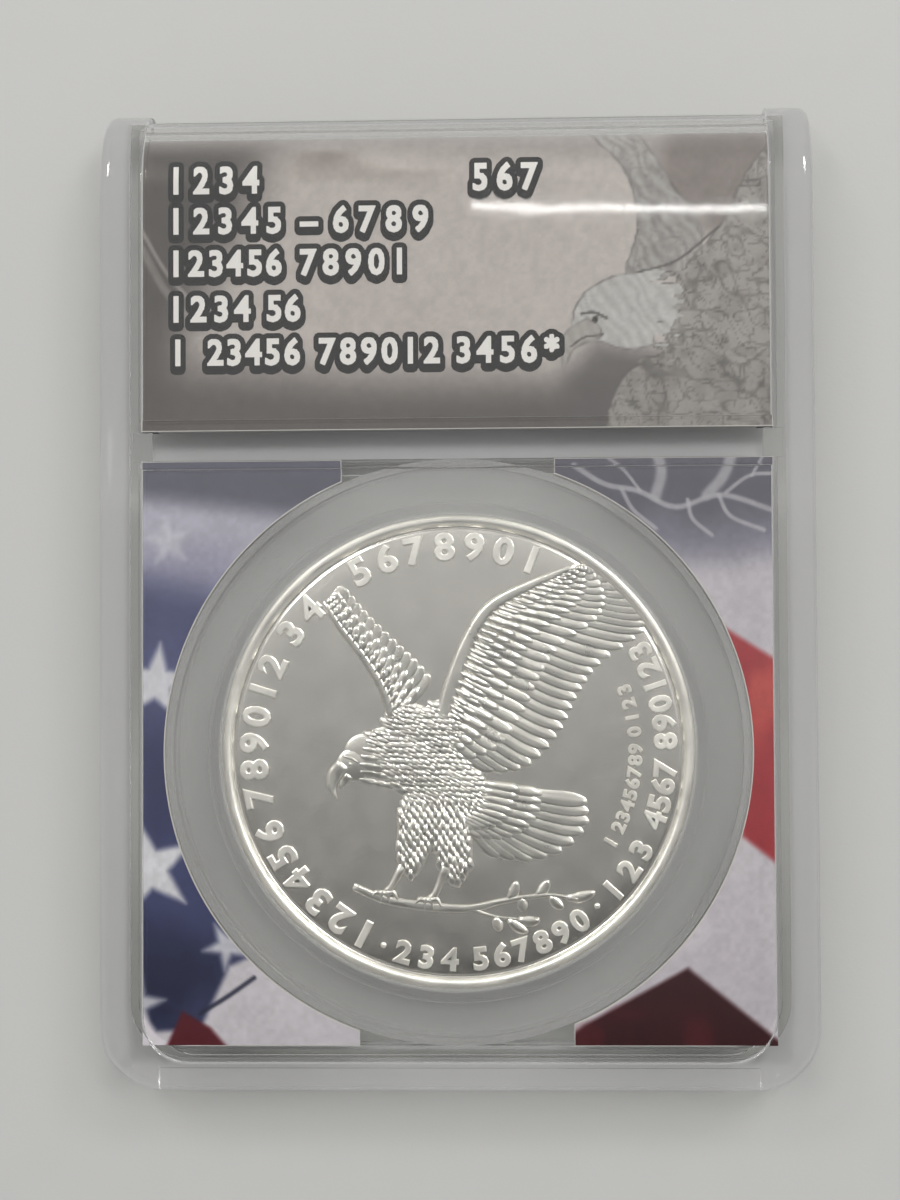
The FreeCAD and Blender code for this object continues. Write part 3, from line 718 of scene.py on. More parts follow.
class Relief:
    """Raised work on one face of the coin, in millimetres from its centre."""

    def __init__(self, centre: Array, level: float, face: Face = Face.FRONT) -> None:
        """Starts with no raised work.

        Args:
            centre: the coin's centre.
            level: the field's height above it.
            face: which face the work is on.
        """
        self.stack = Stack()
        self.centre = centre
        self.level = level
        self.face = face
        self.mounds: list[Mound] = []
        self.sink = 0.03

    def ground(self, places: Array) -> Array:
        """Finds the ground that feathers lie on.

        Args:
            places: places on the face, last axis x, y.

        Returns:
            The height of the highest mound at each place.
        """
        total = np.zeros(places.shape[:-1])
        for mound in self.mounds:
            total = np.maximum(total, mound.rise(places))
        return total

    def put(self, places: Array, heights: Array, faces: Array) -> None:
        """Adds a surface; the back face is the front's half turn about the y axis.

        Args:
            places: places on the face, last axis x, y.
            heights: heights over the field.
            faces: corner numbers within these places.
        """
        way = self.face.value
        points = np.stack([places[..., 0] * way, places[..., 1], (self.level + heights) * way], axis=-1)
        self.stack.add(points + self.centre, faces)

    def mound(self, shape: Mound) -> None:
        """Adds a swelling as rings of points, rho times the ellipse, each at its own rise.

        Args:
            shape: the swelling.
        """
        self.mounds.append(shape)
        rings, spokes = 9, 36
        rho, angle = np.meshgrid(
            np.sin(np.linspace(0.02, 1, rings) * math.pi / 2),
            np.linspace(0, 2 * math.pi, spokes, endpoint=False), indexing="ij",
        )
        turn = math.radians(shape.turn)
        u, v = rho * shape.long * np.cos(angle), rho * shape.short * np.sin(angle)
        x = shape.x + u * math.cos(turn) - v * math.sin(turn)
        y = shape.y + u * math.sin(turn) + v * math.cos(turn)
        places = np.stack([x, y], -1)
        heights = (shape.height + self.sink) * np.sqrt(1 - rho**2) - self.sink
        self.put(places, heights, grid_faces(rings, spokes, wrap=True)[:, ::-1])
        middle = np.arange(1, spokes - 1)
        fan = np.stack([np.zeros(len(middle), int), middle, middle + 1], -1)
        self.put(places[0], heights[0], fan)

    def strips(
        self, line: Array, half: Array, lift: Array,
        tilt: float = 0.0, quill: float = 0.0, barbs: float = 0.0, across: int = 9,
    ) -> None:
        """Adds domed strips along lines.

        Across a strip, s runs from -1 to 1. The height is the ground's, plus
        lift times 1 - s^6, tilted by s, with a quill exp(-(s / 0.14)^2) and
        slanted barb waves; at the edges it sinks below the field.

        Args:
            line: middle lines, shape (count, length, 2).
            half: half widths, shape (count, length).
            lift: heights over the ground, shape (count, length).
            tilt: rise from one edge to the other, in millimetres.
            quill: height of the middle rib.
            barbs: height of the barb waves.
            across: points across.
        """
        count, length = half.shape
        s = np.sin(np.linspace(-1, 1, across) * math.pi / 2)
        ahead = np.gradient(line, axis=1)
        ahead /= np.linalg.norm(ahead, axis=-1, keepdims=True) + 1e-9
        side = np.stack([ahead[..., 1], -ahead[..., 0]], -1)
        places = line[:, :, None] + side[:, :, None] * (half[..., None] * s)[..., None]
        steps = np.linalg.norm(np.diff(line, axis=1), axis=-1)
        run = np.concatenate([np.zeros((count, 1)), np.cumsum(steps, axis=1)], 1)
        dome = 1 - s**6
        body = lift[..., None] + tilt * s + quill * np.exp(-((s / 0.14) ** 2))
        body = body + barbs * np.cos(2 * math.pi * (run[..., None] * 2.6 - np.abs(s) * half[..., None] * 2.2))
        heights = self.ground(places) + (body + self.sink) * dome - self.sink
        heights[:, 0] = self.ground(places[:, 0]) - self.sink
        heights[:, -1] = self.ground(places[:, -1]) - self.sink
        self.put(places, heights, grid_faces(length, across, count))

    def feathers(
        self, roots: Array, tips: Array, half: float | Array, lift: float,
        bend: float = 0.0, point: float = 0.72, length: int = 8, **finish: float,
    ) -> None:
        """Adds one feather per root and tip.

        A feather's half width grows to its shoulder at point and then falls
        as the root of 1 - t^2; its line is bowed by bend times 4t(1 - t).

        Args:
            roots: root places, shape (count, 2).
            tips: tip places, shape (count, 2).
            half: half width.
            lift: height over the ground.
            bend: bow as a share of the length.
            point: where the shoulder is, 0 to 1.
            length: points along.
            finish: passed on to strips.
        """
        t = np.linspace(0, 1, length) ** 0.8
        t[1], t[-2] = 0.04, 0.97
        reach = tips - roots
        bow = np.stack([reach[:, 1], -reach[:, 0]], -1)
        bowed = (bend * 4 * t * (1 - t))[:, None]
        line = roots[:, None] + reach[:, None] * t[:, None] + bow[:, None] * bowed
        tapered = np.sqrt(np.clip(1 - ((t - point) / (1 - point)) ** 2, 0, 1))
        width = np.where(t < point, 0.5 + 0.5 * t / point, tapered)
        half = np.broadcast_to(np.asarray(half, float), len(roots))
        lifts = np.full((len(roots), length), lift)
        self.strips(line, half[:, None] * np.maximum(width, 0.04), lifts, **finish)

    def cord(
        self, points: list[tuple[float, float]], halves: tuple[float, ...], lift: float,
        length: int = 24, **finish: float,
    ) -> None:
        """Adds one strip through points.

        Args:
            points: the points that it passes through.
            halves: half widths that it goes through evenly.
            lift: height over the ground.
            length: points along.
            finish: passed on to strips.
        """
        t = np.linspace(0, 1, length)
        half = np.interp(t, np.linspace(0, 1, len(halves)), halves)
        self.strips(along(points, t)[None], half[None], np.full((1, length), lift), **finish)

    def build(self, name: str, material: bpy.types.Material, smooth: bool = True) -> bpy.types.Object:
        """Makes the relief's object and dresses it.

        Args:
            name: the piece's name.
            material: its material.
            smooth: whether it is shaded smooth.

        Returns:
            The new object.
        """
        piece = self.stack.build(name, smooth)
        dress(piece, material)
        return piece


@dataclass
class Coin:
    """The silver coin: reeded blank, digits round the rim, a bird of prey in front, a wreath behind."""

    rim_width: float = 1.1
    rim_depth: float = 0.35
    basin: float = 0.04
    reeds: int = 200
    reed_depth: float = 0.1
    cap: float = 2.25
    letter_radius: float = 16.35
    dot_radius: float = 17.6
    bead_radius: float = 18.2
    beads: int = 72
    materials: Materials = field(default_factory=dict)
    typeface: Typeface = field(default_factory=Typeface)

    def __post_init__(self) -> None:
        """Measures the coin's place in the frame."""
        low, high = lowest("coin"), highest("coin")
        self.centre = (low + high) / 2
        self.radius = (high[0] - low[0]) / 2
        self.half = (high[2] - low[2]) / 2
        self.level = self.half - self.rim_depth

    def build(self) -> None:
        """Builds the blank and both faces."""
        self.blank()
        front = Relief(self.centre, self.level - self.basin * 0.5)
        self.bird(front)
        bird = front.build("coin_bird", self.materials["frost"])
        self.legend()
        self.wreath()
        LOG.info("coin of radius %.2f mm with its bird %s", self.radius, bird.name)

    def profile(self) -> Array:
        """Gives the blank's outline from the front's middle round to the back's.

        The field sinks by basin * (1 - (r / inner)^2). Over t from 0 to 1 across the
        rim its crown stands 1 - |1.9 t - 0.95|^3 of the rim's depth.

        Returns:
            Radius and height of each point.
        """
        radius, half, level = self.radius, self.half, self.level
        inner = radius - self.rim_width
        field_r = np.array([0.4, 2.5, 5.0, 7.5, 10.0, 12.5, 15.0, 17.0, inner - 0.5])
        field_z = level - self.basin * (1 - (field_r / inner) ** 2)
        across = np.linspace(0, 1, 9)
        crown_r = inner + across * (self.rim_width - 0.1)
        crown_z = level + (half - level) * (1 - np.abs(1.9 * across - 0.95) ** 3)
        rim_r = [inner - 0.28, inner - 0.24, inner - 0.1, *crown_r, radius - 0.03, radius, radius]
        rim_z = [level - 0.02, level - 0.06, level - 0.06, *crown_z, half - 0.33, half - 0.36, half - 0.42]
        front = np.column_stack([np.concatenate([field_r, rim_r]), np.concatenate([field_z, rim_z])])
        return np.vstack([front, front[::-1] * (1, -1)])

    def blank(self) -> None:
        """Turns the profile about the coin's axis.

        The edge's radius dips with the cosine of reeds times the angle.
        """
        profile, radius = self.profile(), self.radius
        angle = np.linspace(0, 2 * math.pi, self.reeds * 5, endpoint=False)
        edge = (profile[:, 0] > radius - 0.01) & (np.abs(profile[:, 1]) < self.half - 0.35)
        dip = self.reed_depth * (0.5 + 0.5 * np.cos(self.reeds * angle)) ** 2
        r = profile[:, :1] - edge[:, None] * dip[None]
        z = np.broadcast_to(profile[:, 1:], r.shape)
        points = np.stack([r * np.cos(angle), r * np.sin(angle), z], -1) + self.centre
        poles = self.centre + np.array([[0, 0, profile[0, 1]], [0, 0, profile[-1, 1]]])
        rows, columns = r.shape
        ring = np.arange(columns)
        turned = (ring + 1) % columns
        total, last = rows * columns, (rows - 1) * columns
        no_corner = np.full(columns, -1)
        sides = grid_faces(rows, columns, wrap=True)[:, ::-1]
        front_fan = np.stack([np.full(columns, total), ring, turned, no_corner], -1)
        back_fan = np.stack([np.full(columns, total + 1), turned + last, ring + last, no_corner], -1)
        blank = Stack()
        faces = np.concatenate([sides, front_fan, back_fan])
        blank.add(np.concatenate([points.reshape(-1, 3), poles]), faces)
        piece = blank.build("coin_blank")
        for key in ("field", "rim"):
            piece.data.materials.append(self.materials[key])
        on_rim = np.repeat(profile[:-1, 0] > radius - self.rim_width - 0.05, columns)
        slots = np.concatenate([on_rim, np.zeros(2 * columns, bool)]).astype(np.int32)
        piece.data.polygons.foreach_set("material_index", slots)
        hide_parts("coin")

    def legend(self) -> None:
        """Sets plain digits round the front rim in groups, and beads round the back one."""
        floor = self.level - self.basin * 0.2
        front, back = Relief(self.centre, floor), Relief(self.centre, floor, Face.BACK)
        radius, cap = self.letter_radius, self.cap
        for text, first, last in (
            ("123456", 242.5, 203.0), ("789012", 192.5, 155.0),
            ("34", 144.5, 136.0), ("5678901", 118.5, 68.5),
        ):
            self.arc(front, text, radius, cap, first, last, Heads.OUTWARD)
        for text, first, last in (
            ("234", 254.5, 267.5), ("567890", 276.0, 305.5), ("1", 318.0, 318.0),
            ("23", 325.0, 331.5), ("4567", 340.5, 355.0), ("890123", 2.5, 28.5),
        ):
            self.arc(front, text, radius + 0.3, cap * 0.82, first, last, Heads.INWARD)
        for text, first, last in (("1", 329.0, 329.0), ("23456789", 334.5, 360.5), ("0123", 366.0, 380.0)):
            self.arc(front, text, radius - 1.9, cap * 0.5, first, last, Heads.INWARD)
        for degrees in (248.7, 311.8):
            angle = math.radians(degrees)
            x, y = self.dot_radius * math.cos(angle), self.dot_radius * math.sin(angle)
            front.mound(Mound(x, y, 0.26, 0.26, 0, 0.14))
        for step in range(self.beads):
            angle = 2 * math.pi * step / self.beads
            x, y = self.bead_radius * math.cos(angle), self.bead_radius * math.sin(angle)
            back.mound(Mound(x, y, 0.3, 0.3, 0, 0.16))
        front.build("coin_front_digits", self.materials["rim"], False)
        back.build("coin_back_beads", self.materials["frost"])

    def arc(
        self, relief: Relief, text: str, radius: float, cap: float,
        first: float, last: float, heads: Heads,
    ) -> None:
        """Sets a group of digits round a circle.

        Args:
            relief: the face to add to.
            text: the digits.
            radius: the circle of the sides nearest the centre.
            cap: their height.
            first: the first digit's angle in degrees.
            last: the last digit's angle.
            heads: which way their heads point.
        """
        for sign, angle in zip(text, np.radians(np.linspace(first, last, len(text)))):
            points, corners = self.typeface.solid(sign)
            run, rise = points[:, 0] * cap * 1.08, points[:, 1] * cap
            reach = radius + rise if heads is Heads.OUTWARD else radius + cap - rise
            sweep = -heads.value * run
            x = reach * math.cos(angle) - sweep * math.sin(angle)
            y = reach * math.sin(angle) + sweep * math.cos(angle)
            relief.put(np.stack([x, y], -1), points[:, 2] * 3.0 + 0.04, corners)

    def bird(self, relief: Relief) -> None:
        """Models a bird of prey that lands on a branch, its wings raised.

        Args:
            relief: the face to add to.
        """
        self.far_wing(relief)
        self.tail(relief)
        self.near_wing(relief)
        self.torso(relief)
        self.head(relief)
        self.perch(relief)

    def rows(self, relief: Relief, roots: list, tips: list, plan: tuple, slip: float = 0.0) -> None:
        """Lays rows of feathers between a wing's leading and trailing curves.

        Args:
            relief: the face to add to.
            roots: points of the leading curve.
            tips: points of the trailing curve.
            plan: for each row its start and end as shares of the way across,
                its count, half width, lift, rib and barb heights and points along.
            slip: how far along the trailing curve the tips run ahead.
        """
        for start, end, count, half, lift, quill, barbs, length in plan:
            share = (np.arange(count) + 0.5) / count
            lead, trail = along(roots, share), along(tips, np.clip(share + slip, 0, 1))
            relief.feathers(
                lead + (trail - lead) * start, lead + (trail - lead) * end, half, lift,
                bend=0.04, length=length, tilt=0.035, quill=quill, barbs=barbs, across=13 if barbs else 7,
            )

    def far_wing(self, relief: Relief) -> None:
        """Models the raised wing beyond the body, seen nearly along its span.

        Args:
            relief: the face to add to.
        """
        lead = [(-5.4, 2.4), (-6.3, 5.2), (-8.0, 8.0), (-10.0, 10.6), (-11.4, 12.9)]
        trail = [(-0.9, 4.4), (-2.9, 7.2), (-5.2, 9.4), (-7.6, 11.7), (-9.6, 14.0)]
        self.rows(relief, lead, trail, (
            (0.10, 1.0, 15, 0.62, 0.06, 0.02, 0.008, 26),
            (0.05, 0.72, 14, 0.5, 0.10, 0.02, 0.0, 9),
            (0.02, 0.5, 15, 0.42, 0.13, 0.015, 0.0, 7),
            (0.0, 0.3, 17, 0.36, 0.16, 0.01, 0.0, 7),
        ), 0.16)
        relief.cord(lead, (0.5, 0.4, 0.35, 0.2), 0.17)

    def near_wing(self, relief: Relief) -> None:
        """Models the broad near wing: flight feathers under four rows of coverts and a smooth arm.

        Args:
            relief: the face to add to.
        """
        lead = [(-1.6, 1.2), (-0.6, 5.2), (0.9, 9.2), (2.9, 12.2), (6.6, 14.2), (10.3, 15.7)]
        trail = [
            (1.6, -1.6), (5.9, -1.4), (8.7, 1.4), (10.3, 4.6),
            (12.3, 7.4), (15.9, 10.1), (15.6, 12.4), (12.6, 15.2),
        ]
        self.rows(relief, lead, trail, (
            (0.2, 1.0, 27, 0.66, 0.07, 0.025, 0.012, 34),
            (0.12, 0.66, 24, 0.56, 0.12, 0.02, 0.008, 20),
            (0.08, 0.46, 24, 0.5, 0.15, 0.02, 0.0, 9),
            (0.05, 0.31, 26, 0.42, 0.18, 0.015, 0.0, 7),
            (0.03, 0.2, 30, 0.34, 0.2, 0.01, 0.0, 7),
        ), 0.03)
        relief.cord(lead, (0.75, 0.7, 0.62, 0.5, 0.25), 0.22, length=40)

    def tail(self, relief: Relief) -> None:
        """Models the fanned tail and its coverts.

        Args:
            relief: the face to add to.
        """
        share = np.linspace(0, 1, 10)
        tips = along([(11.0, -4.3), (11.1, -6.2), (9.4, -8.2), (6.6, -9.2), (3.6, -8.9)], share)
        roots = along([(3.4, -3.0), (2.2, -5.2), (0.6, -5.8)], share)
        reach = tips - roots
        vane = {"tilt": 0.04, "quill": 0.03, "barbs": 0.012, "across": 13}
        covert = {"tilt": 0.03, "quill": 0.02}
        relief.feathers(roots, tips, 0.78, 0.08, bend=0.03, length=30, **vane)
        relief.feathers(roots - (0.8, 0), roots + reach * 0.5, 0.55, 0.14, length=9, **covert)
        relief.feathers(roots - (1.2, -0.3), roots + reach * 0.26, 0.5, 0.18, length=8, **covert)

    def torso(self, relief: Relief) -> None:
        """Models breast, back and thighs as mounds under rows of small overlapping feathers.

        Args:
            relief: the face to add to.
        """
        for shape in (
            Mound(-2.6, -1.6, 5.0, 2.9, -32, 0.2), Mound(-0.6, -3.2, 3.9, 2.6, -28, 0.2),
            Mound(-3.6, -6.2, 1.55, 4.6, -6, 0.2), Mound(-0.6, -6.9, 1.75, 4.5, 8, 0.22),
            Mound(-5.6, 0.0, 2.6, 2.0, -28, 0.17), Mound(-1.6, 1.6, 2.2, 3.0, -20, 0.18),
            Mound(-3.9, 2.2, 2.5, 1.9, -14, 0.17),
        ):
            relief.mound(shape)
        spread = np.random.default_rng(3)
        x, y = np.meshgrid(np.arange(-9, 5, 0.62), np.arange(-11.4, 5.0, 0.48))
        x = x + 0.31 * (np.arange(len(x)) % 2)[:, None]
        places = np.stack([x, y], -1).reshape(-1, 2) + spread.uniform(-0.09, 0.09, (x.size, 2))
        places = places[relief.ground(places) > 0.045]
        fall = smooth_step(-3.4, -5.6, places[:, 1]) * smooth_step(2.6, 1.2, places[:, 0])
        way = np.stack([0.92 - 0.8 * fall, -0.42 - 0.55 * fall], -1) + spread.normal(0, 0.1, (len(places), 2))
        way /= np.linalg.norm(way, axis=1, keepdims=True)
        size = spread.uniform(0.85, 1.15, (len(places), 1))
        order = np.argsort(-(places * way).sum(axis=1))
        places, way, size = places[order], way[order], size[order]
        relief.feathers(
            places - way * 0.55 * size, places + way * 0.62 * size, 0.36 * size[:, 0], 0.045,
            length=6, quill=0.03, tilt=0.02, across=7,
        )

    def head(self, relief: Relief) -> None:
        """Models neck hackles, a smooth crown, the hooked beak, the eye and its brow.

        Args:
            relief: the face to add to.
        """
        for shape in (Mound(-7.4, -0.2, 2.3, 1.75, -16, 0.18), Mound(-8.9, -1.1, 1.5, 1.45, 20, 0.21)):
            relief.mound(shape)
        share = np.linspace(0, 1, 7)
        for k in range(6):
            nape = (-7.6 + 0.62 * k, 1.6 - 0.05 * k)
            cheek = (-8.3 + 0.75 * k, -0.4 - 0.1 * k)
            throat = (-8.4 + 0.85 * k, -2.4 - 0.18 * k)
            start = along([nape, cheek, throat], share)
            relief.feathers(
                start, start + (1.7, -0.3), 0.3, 0.02 + 0.004 * k,
                length=7, quill=0.02, point=0.5, across=7,
            )
        beak = [(-9.7, -1.0), (-10.5, -1.9), (-10.75, -3.1), (-10.3, -4.1)]
        relief.cord(beak, (0.62, 0.66, 0.4, 0.07), 0.15, length=16)
        relief.cord([(-9.2, -2.0), (-9.8, -2.7), (-10.0, -3.2)], (0.42, 0.34, 0.12), 0.1, length=10)
        relief.cord([(-9.9, -0.35), (-9.1, -0.55), (-8.4, -1.0)], (0.1, 0.16, 0.06), 0.07, length=10)
        relief.mound(Mound(-9.15, -1.05, 0.27, 0.24, 0, 0.3))

    def perch(self, relief: Relief) -> None:
        """Models the shanks, the toes with their claws and the leafy branch.

        Args:
            relief: the face to add to.
        """
        branch = [
            (-9.0, -11.4), (-6.4, -12.5), (-3.0, -13.1), (0.8, -13.3),
            (4.2, -12.6), (7.6, -12.2), (10.4, -12.6),
        ]
        relief.cord(branch, (0.34, 0.42, 0.4, 0.3, 0.2, 0.12), 0.16, length=60, barbs=0.012)
        relief.cord([(0.8, -13.3), (3.0, -14.0), (5.0, -14.2)], (0.24, 0.16, 0.1), 0.12)
        for x, y in ((-6.3, -12.2), (-2.6, -12.8)):
            shank = [(x + 1.6, -9.6), (x + 0.7, y + 0.9), (x + 0.1, y + 0.2)]
            relief.cord(shank, (0.4, 0.3, 0.32), 0.17, length=12, barbs=0.015)
            for reach, drop in ((-1.1, -0.15), (-0.35, -0.75), (0.45, -0.8), (1.2, -0.45)):
                toe = [(x, y), (x + reach * 0.6, y + 0.25), (x + reach, y + drop)]
                relief.cord(toe, (0.26, 0.24, 0.05), 0.24, length=12)
        stems = np.array([
            (4.2, -12.6), (5.4, -12.35), (6.6, -12.25), (7.8, -12.2),
            (9.0, -12.4), (3.2, -14.0), (4.2, -14.15), (5.0, -14.2),
        ])
        tips = np.array([
            (4.9, -11.0), (5.6, -13.6), (7.6, -10.9), (8.9, -13.3),
            (11.6, -11.9), (3.6, -15.2), (5.9, -15.3), (6.9, -14.3),
        ])
        relief.feathers(stems, tips, 0.5, 0.13, bend=0.08, point=0.45, length=12, quill=0.035, across=9)

    def wreath(self) -> None:
        """Models the other face: two leafy sprays round a large plain numeral."""
        relief = Relief(self.centre, self.level - self.basin * 0.5, Face.BACK)
        for side in (-1, 1):
            angle = np.radians(90 + side * np.linspace(24, 172, 15))
            stem = np.stack([np.cos(angle), np.sin(angle)], -1) * 12.6
            relief.cord([tuple(p) for p in stem], (0.12, 0.2, 0.3), 0.12, length=60)
            for lean, reach in ((-1.0, 2.5), (0.85, 2.3)):
                ahead = np.stack([np.sin(angle), -np.cos(angle)], -1) * side
                outward = np.stack([np.cos(angle), np.sin(angle)], -1)
                relief.feathers(
                    stem, stem + ahead * 2.3 + outward * lean * reach * 0.62, 0.72, 0.16,
                    bend=0.06 * side, point=0.45, length=12, quill=0.04, across=9,
                )
        points, corners = self.typeface.solid("1")
        places = np.stack([points[:, 0] * 11.5, points[:, 1] * 11.5 - 5.2], -1)
        relief.put(places, points[:, 2] * 2.2 + 0.08, corners)
        relief.build("coin_wreath", self.materials["frost"])


# ---------------------------------------------------------------- prints


def cloud(x: Array, y: Array, size: float, seed: int) -> Array:
    """Gives smooth noise.

    Random numbers on a lattice of the given size are blended by
    3t^2 - 2t^3 between neighbours.

    Args:
        x: places across.
        y: places up.
        size: the lattice's cell in millimetres.
        seed: which random numbers it takes.

    Returns:
        The noise at each place, 0 to 1.
    """
    table = np.random.default_rng(seed).random((128, 128))
    u, v = x / size + 500.3, y / size + 500.7
    i, j = np.floor(u).astype(int), np.floor(v).astype(int)
    a, b = smooth_step(0, 1, u - i), smooth_step(0, 1, v - j)
    i0, i1, j0, j1 = i % 128, (i + 1) % 128, j % 128, (j + 1) % 128
    low = table[i0, j0] * (1 - a) + table[i1, j0] * a
    return low * (1 - b) + (table[i0, j1] * (1 - a) + table[i1, j1] * a) * b


def inside(x: Array, y: Array, corners: list | Array) -> Array:
    """Measures how far places are inside an outline.

    The size is the least distance to its edges, and the sign comes from
    how often a ray along x crosses them.

    Args:
        x: places across.
        y: places up.
        corners: the outline's corners.

    Returns:
        The distance at each place, negative outside.
    """
    pts = np.array(corners, float)
    near, odd = np.full(x.shape, 1e9), np.zeros(x.shape, bool)
    for (ax, ay), (bx, by) in zip(pts, np.roll(pts, -1, axis=0)):
        ex, ey = bx - ax, by - ay
        t = np.clip(((x - ax) * ex + (y - ay) * ey) / (ex * ex + ey * ey + 1e-12), 0, 1)
        near = np.minimum(near, np.hypot(x - ax - t * ex, y - ay - t * ey))
        if ey:
            odd ^= ((ay > y) != (by > y)) & (x < ax + ex * (y - ay) / ey)
    return np.where(odd, near, -near)


def star(x: float, y: float, reach: float, turn: float) -> Array:
    """Gives a five-pointed star, every other corner at 0.4 of its reach.

    Args:
        x: its middle across.
        y: its middle up.
        reach: its longest radius.
        turn: degrees that it is turned.

    Returns:
        Its ten corners.
    """
    angle = np.radians(90 + turn) + np.arange(10) * math.pi / 5
    radius = np.where(np.arange(10) % 2, 0.4, 1.0) * reach
    return np.stack([x + radius * np.cos(angle), y + radius * np.sin(angle)], -1)


class Picture:
    """Colours painted in layers over places on a card."""

    def __init__(self, x: Array, y: Array, base: Ink) -> None:
        """Starts with one colour all over."""
        self.x, self.y = x, y
        self.colours = np.ones((*x.shape, 3)) * np.array(base, float)

    def lay(self, cover: Array, colour: Ink) -> None:
        """Blends a colour in, where cover is 1 it hides what was there."""
        self.colours += np.clip(cover, 0, 1)[..., None] * (np.array(colour, float) - self.colours)

    def patch(
        self, corners: list | Array, colour: Ink, soft: float = 0.12, strength: float = 1.0
    ) -> Array:
        """Fills an outline with soft edges.

        Args:
            corners: the outline's corners.
            colour: the colour laid in.
            soft: half the width of its edge.
            strength: how much of what was there it hides.

        Returns:
            Its cover at each place.
        """
        cover = smooth_step(-soft, soft, inside(self.x, self.y, corners)) * strength
        self.lay(cover, colour)
        return cover

    def stroke(self, points: list, width: float, colour: Ink, strength: float = 1.0) -> None:
        """Draws a soft line, by the distance to short straight parts of a curve.

        Args:
            points: the points that the curve passes through.
            width: how far it reaches to each side.
            colour: the colour laid in.
            strength: how much of what was there it hides.
        """
        line = along(points, np.linspace(0, 1, 6 * len(points)))
        near = np.full(self.x.shape, 1e9)
        for (ax, ay), (bx, by) in zip(line[:-1], line[1:]):
            ex, ey = bx - ax, by - ay
            run = (self.x - ax) * ex + (self.y - ay) * ey
            t = np.clip(run / (ex * ex + ey * ey + 1e-12), 0, 1)
            near = np.minimum(near, np.hypot(self.x - ax - t * ex, self.y - ay - t * ey))
        self.lay(smooth_step(width, width * 0.3, near) * strength, colour)

    def shade(self, factor: Array) -> None:
        """Multiplies every colour."""
        self.colours *= factor[..., None]

    def light(self) -> Array:
        """Gives the picture in linear light."""
        return ((np.clip(self.colours, 0, 255) / 255 + 0.055) / 1.055) ** 2.4


